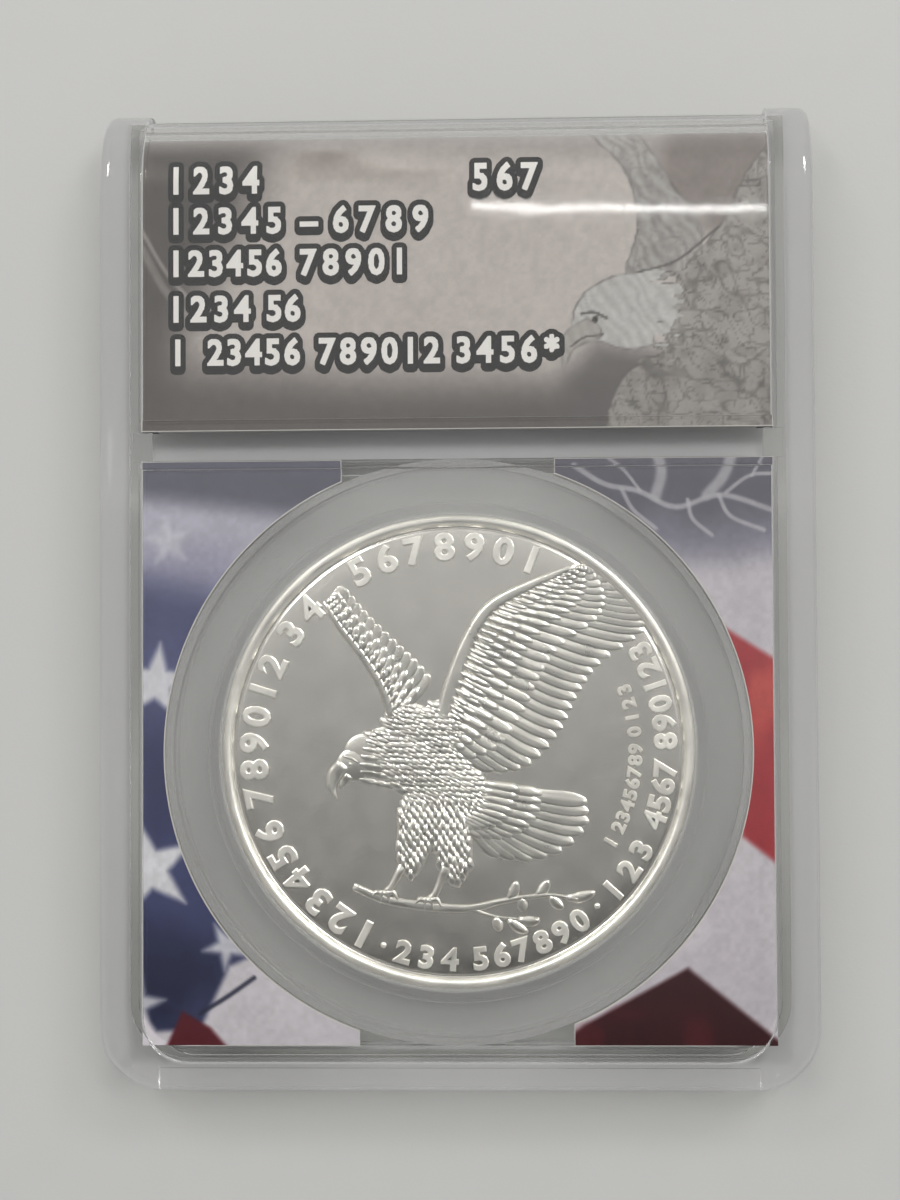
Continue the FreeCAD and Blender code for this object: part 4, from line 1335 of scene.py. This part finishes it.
@dataclass
class Label:
    """The printed front label: a picture on a card that rolls back at its top, with bold outlined digits."""

    bend_start: float = 34.9
    bend_centre: float = 1.5
    half_width: float = 26.75
    foot: float = 13.86
    run: float = 28.1
    cap: float = 2.2
    cell: float = 0.05
    bold: float = 0.09
    outline: float = 0.46
    drop: float = 0.34
    print_lift: float = 0.012
    white_lift: float = 0.03
    dark_lift: float = 0.021
    rows: int = 172
    columns: int = 325
    materials: Materials = field(default_factory=dict)
    typeface: Typeface = field(default_factory=Typeface)

    def place(self, x: Array, s: Array, lift: float) -> Array:
        """Maps a place on the flat card to the bent one.

        Past the bend's start the card turns about a line across: the angle is
        the rest of s over the bend's radius, y its sine and z its cosine.

        Args:
            x: places across.
            s: places up the flat card.
            lift: how far over the card.

        Returns:
            The places in the frame.
        """
        radius = highest("label_card")[2] - self.bend_centre
        angle = np.clip((s - self.bend_start) / radius, 0, None)
        y = np.minimum(s, self.bend_start) + (radius + lift) * np.sin(angle)
        z = self.bend_centre + (radius + lift) * np.cos(angle)
        return np.stack([x, y, z], -1)

    def build(self) -> None:
        """Builds the picture skin and the digits."""
        self.picture()
        self.digits()

    def picture(self) -> None:
        """Paints the label on a fine grid just over the card."""
        up = np.linspace(self.foot, self.foot + self.run, self.rows)
        across = np.linspace(-self.half_width, self.half_width, self.columns)
        s, x = np.meshgrid(up, across, indexing="ij")
        art = Picture(x, s, (190, 182, 176))
        haze = cloud(x, s * 1.6, 7.0, 1)
        art.lay(smooth_step(14, -8, x) * 0.35 * haze, (176, 166, 160))
        art.lay(smooth_step(20.6 - 0.02 * x, 15.0, s + 0.08 * (x + 8) * (x < -8)) * 0.95, (82, 77, 74))
        art.lay(smooth_step(-17, -25.0, x - 0.5 * (s - 27)) * 0.88, (60, 56, 53))
        art.lay(smooth_step(-22.0, -27.0, x) * 0.6, (84, 78, 74))
        # Painted shade: the print turns darker grey over the roll at the card's top, where the card bends
        # away from the light.
        art.lay(smooth_step(35.6, 38.4, s + 0.05 * x) * 0.75, (150, 143, 139))
        wisps = smooth_step(0.55, 0.9, cloud(x * 0.35, s * 1.8, 3.0, 5))
        art.lay(wisps * smooth_step(33.5, 37, s) * smooth_step(6, -6, x) * 0.6, (118, 108, 102))
        art.stroke([(-26.8, 29.5), (-24.5, 25.5), (-20.5, 21.5), (-14, 18.8)], 0.5, (160, 154, 150), 0.5)
        art.stroke([(-26.8, 31.0), (-24.2, 26.8), (-20.0, 22.8), (-13, 19.8)], 0.25, (196, 190, 186), 0.5)
        dusk = [(9.0, 13.5), (9.4, 18.0), (12.0, 21.0), (17.5, 20.0), (20.0, 13.5)]
        art.patch(dusk, (88, 84, 82), 1.6, 0.9)
        wing_shade = [(19.2, 41.5), (16.6, 34.5), (22.8, 29.5), (27, 34), (27, 43)]
        art.patch(wing_shade, (112, 103, 98), 1.2, 0.75)
        self.bird(art)
        grain = cloud(x, s, 0.35, 8) * 0.06 + cloud(x, s, 0.9, 9) * 0.05 + 0.945
        art.shade(grain)
        skin = Stack()
        skin.add(self.place(x, s, self.print_lift), grid_faces(*x.shape))
        piece = skin.build("label_print")
        paint(piece, art.light())
        dress(piece, self.materials["print"])

    def bird(self, art: Picture) -> None:
        """Draws a pencilled bird of prey, its plumage as wavy scales that noise pulls out of line.

        Args:
            art: the picture to draw on.
        """
        x, s = art.x, art.y
        scribble = np.zeros(x.shape)
        for size, seed in ((0.95, 21), (1.5, 22), (0.6, 25)):
            ridge = np.abs(cloud(x + 0.3 * s, s, size, seed) - 0.5)
            scribble = np.maximum(scribble, smooth_step(0.075, 0.0, ridge) * 0.9)
        fleck = 0.25 * smooth_step(0.5, 0.75, cloud(x, s, 1.1, 27))
        scribble = scribble * (0.35 + 0.65 * cloud(x, s, 0.5, 26)) + fleck
        streak = 0.5 + 0.5 * np.sin((x * 0.75 + s * 0.5) * 7.5 + cloud(x, s, 1.2, 23) * 7)
        wing = [
            (9.8, 42.4), (13.0, 42.4), (16.0, 38.4), (18.4, 34.6), (21.0, 30.4),
            (19.4, 26.0), (14.6, 26.4), (15.6, 31.0), (14.6, 35.4), (12.0, 38.6),
        ]
        back = [
            (28, 39.5), (24.6, 35.0), (22.6, 31.0), (19.6, 27.6),
            (16.0, 24.0), (17.6, 19.0), (20.0, 13.0), (29, 12),
        ]
        breast = [(12.6, 12.6), (13.6, 17.0), (16.4, 19.8), (20.6, 20.6), (24, 19.0), (28, 20.5), (29, 12)]
        head = [
            (10.6, 20.8), (9.9, 22.6), (10.7, 24.9), (13.0, 26.5), (16.2, 26.9),
            (18.9, 25.6), (18.8, 22.9), (16.6, 20.8), (14.2, 20.5), (12.2, 21.2),
        ]
        beak = [
            (11.2, 23.1), (9.7, 22.3), (9.0, 20.9), (9.2, 18.9),
            (9.9, 20.3), (11.0, 21.0), (12.4, 21.6), (12.1, 22.6),
        ]
        parts = (
            (wing, (170, 166, 162), streak * 0.2 + scribble * 0.2),
            (back, (158, 153, 148), scribble * 0.62),
            (breast, (150, 145, 140), scribble * 0.62),
            (head, (194, 192, 188), streak * 0.12 + scribble * 0.08),
            (beak, (170, 165, 159), streak * 0.1),
        )
        for corners, colour, pencil in parts:
            depth = inside(x, s, along(corners + corners[:1], np.linspace(0, 1, 60))[:-1])
            nape = smooth_step(14.5, 17.5, x) * smooth_step(20.5, 18.5, x) * smooth_step(28.5, 26.5, s)
            ragged = 0.16 + 2.6 * nape
            depth = depth + (cloud(x * 0.3 + s * 0.12, s, 0.42, 24) - 0.5) * ragged
            cover = smooth_step(-0.1, 0.1, depth)
            art.lay(cover, colour)
            art.lay(cover * pencil, (64, 60, 57))
            broken = 0.15 + 0.6 * cloud(x, s, 0.7, 28)
            art.lay(smooth_step(0.17, 0.0, np.abs(depth)) * broken, (84, 80, 77))
        art.stroke([(10.7, 23.5), (11.8, 23.6), (12.9, 23.1)], 0.18, (66, 62, 59), 0.9)
        art.lay(smooth_step(0.34, 0.22, np.hypot(x - 11.9, s - 23.0)), (46, 43, 41))
        art.stroke([(9.8, 20.7), (11.0, 21.5), (12.6, 21.7)], 0.13, (74, 70, 67), 0.8)
        art.stroke([(22.4, 30.8), (18.9, 28.0), (15.6, 27.0)], 0.16, (74, 70, 67), 0.7)

    def digits(self) -> None:
        """Sets the five rows of digits as white ink over grown dark outlines that drop downwards."""
        rows = (
            (19.05, (
                ("1", -23.7, -23.7), ("23456", -20.5, -13.9),
                ("789012", -10.9, -2.0), ("3456*", 0.7, 8.2),
            )),
            (22.78, (("1234", -23.8, -18.1), ("56", -15.4, -13.8))),
            (26.7, (("123456", -23.8, -15.4), ("78901", -12.5, -4.7))),
            (30.35, (("12345", -23.8, -15.4), ("-", -12.4, -12.4), ("6789", -9.7, -2.9))),
            (33.8, (("1234", -23.8, -17.4), ("567", 2.2, 6.4))),
        )
        wide = int(2 * self.half_width / self.cell)
        white, dark = Stack(), Stack()
        for foot, groups in rows:
            band = np.zeros((int((self.cap + 2.4) / self.cell), wide), bool)
            for text, first, last in groups:
                for sign, middle in zip(text, np.linspace(first, last, len(text))):
                    shape = self.typeface.mask(sign, self.cap, self.cell)
                    if sign == "-":
                        shape = np.repeat(shape, 2, axis=1)
                    row = int(0.7 / self.cell)
                    column = int((middle + self.half_width) / self.cell - shape.shape[1] / 2)
                    band[row : row + len(shape), column : column + shape.shape[1]] |= shape[: len(band) - row]
            ink = self.grown(band, self.bold)
            edge = self.grown(ink, self.outline)
            for _ in range(int(self.drop / self.cell)):
                edge[:-1] |= edge[1:]
            self.runs(white, ink, foot - 1.2, self.white_lift)
            self.runs(dark, edge, foot - 1.2, self.dark_lift)
        for stack, name, ink in ((white, "label_digits", "white"), (dark, "label_digit_outlines", "dark")):
            piece = stack.build(name, smooth=False)
            dress(piece, self.materials[ink])

    def grown(self, band: Array, reach: float) -> Array:
        """Grows filled cells by a disc.

        Args:
            band: which cells are filled.
            reach: the disc's radius in millimetres.

        Returns:
            Which cells are filled afterwards.
        """
        steps = int(round(reach / self.cell))
        total = band.copy()
        for i in range(-steps, steps + 1):
            for j in range(-steps, steps + 1):
                if 0 < i * i + j * j <= (reach / self.cell) ** 2 + 0.5:
                    total |= np.roll(np.roll(band, i, axis=0), j, axis=1)
        return total

    def runs(self, stack: Stack, band: Array, foot: float, lift: float) -> None:
        """Turns each unbroken run of filled cells in a row into one face on the card.

        Args:
            stack: where the faces go.
            band: which cells are filled.
            foot: half a millimetre under the lowest row.
            lift: how far over the card.
        """
        steps = np.diff(np.pad(band.astype(np.int8), ((0, 0), (1, 1))), axis=1)
        row, start = np.nonzero(steps == 1)
        end = np.nonzero(steps == -1)[1]
        left, right = (start * self.cell - self.half_width, end * self.cell - self.half_width)
        low = foot + 0.5 + row * self.cell
        x = np.stack([left, right, right, left], -1)
        s = np.stack([low, low, low + self.cell, low + self.cell], -1)
        stack.add(self.place(x, s, lift), np.arange(x.size).reshape(-1, 4))


@dataclass
class PictureCards:
    """The two printed cards cut round the coin: a starry blue field, and broad red and pale bands."""

    cut_radius: float = 24.98
    tip_near: float = 8.4
    tip_far: float = 9.8
    print_lift: float = 0.012
    rows: int = 340
    columns: int = 110
    materials: Materials = field(default_factory=dict)

    def build(self) -> None:
        """Paints both cards."""
        self.card("left_picture_card", Side.LEFT)
        self.card("right_picture_card", Side.RIGHT)

    def card(self, node: str, side: Side) -> None:
        """Paints one card on a ruled grid from its straight edge to its cut edge.

        The cut edge is the circle x^2 + (y - centre)^2 = radius^2, or the
        tip's upright line where that is farther out.

        Args:
            node: the card's node.
            side: which side of the coin it is on.
        """
        low, high = lowest(node), highest(node)
        centre = (lowest("coin") + highest("coin"))[1] / 2
        left = side is Side.LEFT
        up = np.linspace(low[1] + 0.04, high[1] - 0.04, self.rows)
        y, share = np.meshgrid(up, np.linspace(0, 1, self.columns), indexing="ij")
        tip = np.where((y > centre) == left, self.tip_far, self.tip_near)
        cut = np.maximum(np.sqrt(np.clip(self.cut_radius**2 - (y - centre) ** 2, 0, None)), tip)
        outer = max(abs(low[0]), abs(high[0])) - 0.05
        x = (outer + (cut - outer) * share) * side.value
        z = np.full(x.shape, high[2] + self.print_lift)
        art = self.stars(x, y) if left else self.bands(x, y)
        art.shade(0.95 + 0.07 * cloud(x, y, 0.4, 31) + 0.04 * cloud(x, y, 2.0, 32))
        skin = Stack()
        faces = grid_faces(*x.shape)
        skin.add(np.stack([x, y, z], -1), faces if left else faces[:, ::-1])
        piece = skin.build(node.replace("card", "print"))
        paint(piece, art.light())
        dress(piece, self.materials["print"])

    def stars(self, x: Array, y: Array) -> Picture:
        """Paints the left card: dark head band, blue folds with blurred white stars, pale and red foot.

        Args:
            x: places across.
            y: places up.

        Returns:
            The painted picture.
        """
        art = Picture(x, y, (66, 70, 108))
        fold = cloud(x, y * 0.6, 4.0, 41)
        art.lay(smooth_step(-1.5, 3.4, y + 0.2 * x + 5), (150, 148, 168))
        art.lay(smooth_step(1.0, 6.0, y + 2.2 * (fold - 0.5)) * 0.8, (182, 180, 192))
        art.lay(smooth_step(6.0, 8.6, y + 0.12 * (x + 20)), (86, 86, 100))
        art.lay(smooth_step(-9, -14, y) * 0.75, (34, 39, 78))
        art.lay(smooth_step(-26, -33, y) * 0.6, (24, 26, 48))
        art.lay(smooth_step(0.5, 0.8, fold) * smooth_step(2, -8, y) * 0.3, (92, 98, 138))
        for cx, cy, reach, turn, strength in (
            (-24.6, 4.4, 2.1, 8, 0.45), (-25.6, -7.6, 3.4, -6, 0.95), (-26.3, -23.4, 4.3, 12, 1.0),
            (-19.6, -29.9, 2.1, 30, 0.85), (-27.3, -34.8, 2.5, -10, 0.85),
        ):
            art.patch(star(cx, cy, reach, turn), (218, 217, 221), 0.4, strength)
        foot = [
            (-27.5, -34.6), (-25.6, -37.1), (-21.9, -36.9), (-19.4, -31.6),
            (-16.6, -30.4), (-8, -34.6), (-8, -39), (-27.5, -39),
        ]
        art.patch(foot, (205, 200, 205), 0.35)
        art.stroke([(-21.9, -35.6), (-19.6, -34.2), (-17.3, -32.6)], 0.3, (40, 42, 62), 0.9)
        art.patch([(-25.0, -38.9), (-23.4, -35.4), (-21.0, -36.8), (-18.9, -39.2)], (84, 24, 33), 0.25)
        return art

    def bands(self, x: Array, y: Array) -> Picture:
        """Paints the right card: dark head with a pencilled twig, pale folds, red band, dark red corner.

        Args:
            x: places across.
            y: places up.

        Returns:
            The painted picture.
        """
        art = Picture(x, y, (196, 190, 196))
        fold = cloud(x, y * 0.5, 3.0, 51)
        art.lay(smooth_step(0.4, 0.9, fold) * 0.35, (222, 217, 220))
        art.lay(smooth_step(0.5, 4.5, y + 1.5 * (fold - 0.5)), (124, 122, 136))
        art.lay(smooth_step(3.6, 8.0, y + 1.2 * (fold - 0.5)), (84, 83, 94))
        for points, width in (
            ([(10.0, 10.6), (12.6, 9.0), (15.4, 8.4), (18.6, 7.0), (22.4, 8.0), (27, 6.6)], 0.34),
            ([(14.0, 8.6), (15.0, 6.8), (16.9, 5.2)], 0.26), ([(16.9, 8.0), (17.4, 10.0), (17.0, 11.6)], 0.7),
            ([(19.6, 7.6), (20.0, 6.0), (21.6, 4.6)], 0.26), ([(22.2, 8.0), (23.2, 6.2), (26.0, 5.0)], 0.26),
            ([(22.8, 8.2), (24.8, 9.6), (27, 9.8)], 0.24), ([(23.4, 11.6), (22.6, 9.6), (21.2, 8.0)], 0.7),
            ([(15.6, 8.4), (14.2, 10.2), (12.9, 11.2)], 0.2), ([(25.0, 9.6), (25.9, 11.2)], 0.2),
        ):
            art.stroke(points, width, (176, 174, 178), 0.8)
        band = [(21.6, -2.6), (27.4, -6.3), (27.5, -23.6), (24.0, -20.8), (22, -13)]
        red = art.patch(band, (158, 44, 50), 0.35)
        sheen = smooth_step(0.35, 0.8, cloud(x, y * 0.4, 2.0, 52))
        art.lay(red * sheen * smooth_step(-16, -11, y) * smooth_step(-5, -8, y) * 0.7, (200, 86, 76))
        corner = [(19.3, -31.8), (27.4, -38.3), (27.4, -39.4), (7, -39.4), (10.5, -36.6)]
        art.patch(corner, (50, 14, 19), 0.3)
        glow = smooth_step(0.45, 0.8, cloud(x * 0.8, y, 2.4, 53))
        art.lay(glow * smooth_step(-34, -37, y) * 0.3, (120, 40, 44))
        return art


@dataclass
class RearLabel:
    """The plain card behind the window at the back: rules and digits, and its foil seal."""

    lift: float = 0.015
    rule_half: float = 24.4
    rule_width: float = 0.12
    materials: Materials = field(default_factory=dict)
    typeface: Typeface = field(default_factory=Typeface)

    def build(self) -> None:
        """Sets rules and rows of digits on the card's rear face."""
        low, high = lowest("rear_label_card"), highest("rear_label_card")
        seal = highest("security_seal")
        ink = Stack()
        level = low[2] - self.lift
        top, upper, middle, lower = seal[1] + 2.6, seal[1] - 2.2, seal[1] - 4.8, seal[1] - 7.4
        for text, cap, left, foot in (
            ("1234567890", 2.0, -22.5, top), ("1234", 2.0, 12.5, top),
            ("12345", 1.2, -22.5, upper), ("67890", 1.2, -22.5, middle), ("12345", 1.2, -22.5, lower),
            ("12345", 1.2, 14.0, upper), ("67890", 1.2, 14.0, middle), ("12345", 1.2, 14.0, lower),
        ):
            for place, sign in enumerate(text):
                points, corners = self.typeface.mesh(sign, 0.0)
                x = -(left + cap * (0.45 + 0.82 * place) + points[:, 0] * cap)
                ink.add(np.stack([x, foot + points[:, 1] * cap, np.full(len(x), level)], -1), corners)
        end = self.rule_half
        for y in (low[1] + 1.4, seal[1] - 11.8, high[1] - 1.4, seal[1] + 1.4):
            head = y + self.rule_width
            rule = np.array([[-end, y, level], [-end, head, level], [end, head, level], [end, y, level]])
            ink.add(rule, np.array([[0, 1, 2, 3]]))
        piece = ink.build("rear_label_ink", smooth=False)
        dress(piece, self.materials["dark"])


# ---------------------------------------------------------------- case


@dataclass
class Case:
    """The two clear shells that are welded face to face, and the soft ring between them."""

    parting_gap: float = 0.012
    rib: tuple[float, float, float] = (11.0, 14.0, 27.0)
    materials: Materials = field(default_factory=dict)

    def build(self) -> None:
        """Builds both shells and dresses the ring."""
        self.shell("front_shell", lowest("front_shell")[2], Face.FRONT)
        self.shell("back_shell", highest("back_shell")[2], Face.BACK)
        dress(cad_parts["coin_ring"], self.materials["ring"])

    def shell(self, node: str, meeting: float, side: Face) -> None:
        """Copies a shell, joins its loose corners and draws its meeting face back by a hair.

        Light then sees a film of air between the two shells.

        Args:
            node: the shell's node.
            meeting: the height of its meeting face, in millimetres.
            side: which way the shell looks.
        """
        gap = side.value * self.parting_gap / 2
        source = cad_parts[node].data
        source.calc_loop_triangles()
        count = len(source.loop_triangles)
        places, corners, loops, normals = (
            np.empty(len(source.vertices) * 3), np.empty(count * 3, np.int32),
            np.empty(count * 3, np.int32), np.empty(len(source.loops) * 3),
        )
        source.vertices.foreach_get("co", places)
        source.loop_triangles.foreach_get("vertices", corners)
        source.loop_triangles.foreach_get("loops", loops)
        source.corner_normals.foreach_get("vector", normals)
        keys = np.round(places.reshape(-1, 3) / 1e-7).astype(np.int64)
        _, first, joined = np.unique(keys, axis=0, return_index=True, return_inverse=True)
        points = places.reshape(-1, 3)[first] / MM
        meets = np.abs(points[:, 2] - meeting) < 0.004
        points[meets, 2] += gap
        faces = joined.ravel()[corners].reshape(-1, 3)
        a, b, c = faces.T
        kept = (a != b) & (b != c) & (c != a)
        stack = Stack()
        stack.add(points, faces[kept])
        piece = stack.build(f"{node}_clear", check=False)
        turned = normals.reshape(-1, 3)[loops.reshape(-1, 3)[kept].ravel()]
        piece.data.normals_split_custom_set(turned.tolist())
        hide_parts(node)
        for key in ("clear", "frosted", "rib"):
            piece.data.materials.append(self.materials[key])
        flat = np.all(np.abs(points[faces[kept], 2] - meeting - gap) < 0.01, axis=1)
        middle = points[faces[kept]].mean(axis=1)
        low, high, half = self.rib
        rib = flat & (middle[:, 1] > low) & (middle[:, 1] < high) & (np.abs(middle[:, 0]) < half)
        slots = flat.astype(np.int32) + rib
        piece.data.polygons.foreach_set("material_index", slots.astype(np.int32))


@dataclass
class Studio:
    """Pale table, soft light from overhead and the camera above the slab."""

    floor_half: float = 6000.0
    floor_top: float = -0.02
    lens: float = 81.0
    eye: tuple[float, float, float] = (10.14, -9.71, 235.35)
    target: tuple[float, float, float] = (-0.65, -0.66, 5.0)
    roll: float = -0.286

    def build(self) -> None:
        """Makes the floor, the lights and the camera."""
        self.floor()
        self.lights()
        self.camera()

    def floor(self) -> None:
        """Makes the pale table top, one flat surface under the slab."""
        stack = Stack()
        half, top = self.floor_half, self.floor_top
        corners = np.array([[-half, -half, top], [half, -half, top], [half, half, top], [-half, half, top]])
        stack.add(corners, np.array([[0, 1, 2, 3]]))
        table = stack.build("table_top", smooth=False)
        dress(table, TABLE.build())

    def lamp(
        self, name: str, place: tuple[float, float, float], size: tuple[float, float],
        watts: float, turn: float | None = None,
    ) -> None:
        """Hangs one rectangular lamp.

        Args:
            name: the lamp's name.
            place: its centre in millimetres.
            size: its width and height in millimetres.
            watts: its power.
            turn: degrees that its long side is turned when it faces straight down;
                without it the lamp faces the slab.
        """
        light = bpy.data.lights.new(name, "AREA")
        light.shape = "RECTANGLE"
        light.size, light.size_y = size[0] * MM, size[1] * MM
        light.energy = watts
        light.color = (1.0, 0.992, 0.975)
        lamp = bpy.data.objects.new(name, light)
        bpy.context.scene.collection.objects.link(lamp)
        where = Vector(place) * MM
        if turn is None:
            aim = (-where).to_track_quat("-Z", "Y").to_matrix().to_4x4()
        else:
            aim = Matrix.Rotation(math.radians(turn), 4, "Z")
        lamp.matrix_world = Matrix.Translation(where) @ aim

    def lights(self) -> None:
        """Hangs the lamps and the sky.

        Two soft panels hang beyond the slab's top, and a slim tube's reflection lies
        along the label's fold. The sky darkens overhead and towards the viewer.
        """
        self.lamp("right panel", (500.0, 520.0, 820.0), (320.0, 260.0), 5.0)
        self.lamp("left panel", (-480.0, 560.0, 820.0), (280.0, 240.0), 3.2)
        self.lamp("tube", (30.8, 215.8, 1000.0), (133.5, 2.8), 0.0117, -1.4)
        world = bpy.data.worlds.new("room")
        world.use_nodes = True
        graph = Graph(world.node_tree)
        background = world.node_tree.nodes["Background"]
        way = graph.add("SeparateXYZ", {0: graph.add("TexCoord").outputs["Generated"]})
        height = graph.ramp(way.outputs["Z"], 0.3, 0.97, 0.0, 1.0)
        above = graph.ramp(way.outputs["Y"], -0.135, 0.075, 0.03, 0.96)
        dusk = graph.add("CombineColor", {0: above, 1: above, 2: above})
        tone = graph.blend(height, (1.0, 1.0, 1.0), dusk.outputs[0])
        world.node_tree.links.new(tone, background.inputs["Color"])
        background.inputs["Strength"].default_value = 0.66
        bpy.context.scene.world = world

    def camera(self) -> None:
        """Places the camera at eye, looking at target, turned by roll degrees.

        The limits on bounces let light travel on inside the thick clear walls.
        """
        data = bpy.data.cameras.new("camera")
        data.sensor_fit = "VERTICAL"
        data.sensor_height = 36.0
        data.lens = self.lens
        data.clip_start = 0.005
        camera = bpy.data.objects.new("camera", data)
        bpy.context.scene.collection.objects.link(camera)
        eye, target = Vector(self.eye) * MM, Vector(self.target) * MM
        back = (eye - target).normalized()
        right = Vector((0, 1, 0)).cross(back).normalized()
        turn = Matrix((right, back.cross(right), back)).transposed().to_4x4()
        spin = Matrix.Rotation(math.radians(self.roll), 4, "Z")
        camera.matrix_world = Matrix.Translation(eye) @ turn @ spin
        bpy.context.scene.camera = camera
        scene = bpy.context.scene
        scene.view_settings.view_transform = "Standard"
        scene.cycles.max_bounces = 24
        scene.cycles.glossy_bounces = 16
        scene.cycles.transmission_bounces = 20


def main() -> None:
    """Builds the slab's looks and the studio round it."""
    materials = {key: finish.build() for key, finish in FINISHES.items()}
    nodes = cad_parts
    Case(materials=materials).build()
    for node in ("label_card", "rear_label_card", "left_picture_card", "right_picture_card"):
        dress(nodes[node], materials["paper"])
    dress(nodes["security_seal"], materials["foil"])
    typeface = Typeface()
    Label(materials=materials, typeface=typeface).build()
    PictureCards(materials=materials).build()
    RearLabel(materials=materials, typeface=typeface).build()
    Coin(materials=materials, typeface=typeface).build()
    Studio().build()


if __name__ == "__main__":
    main()
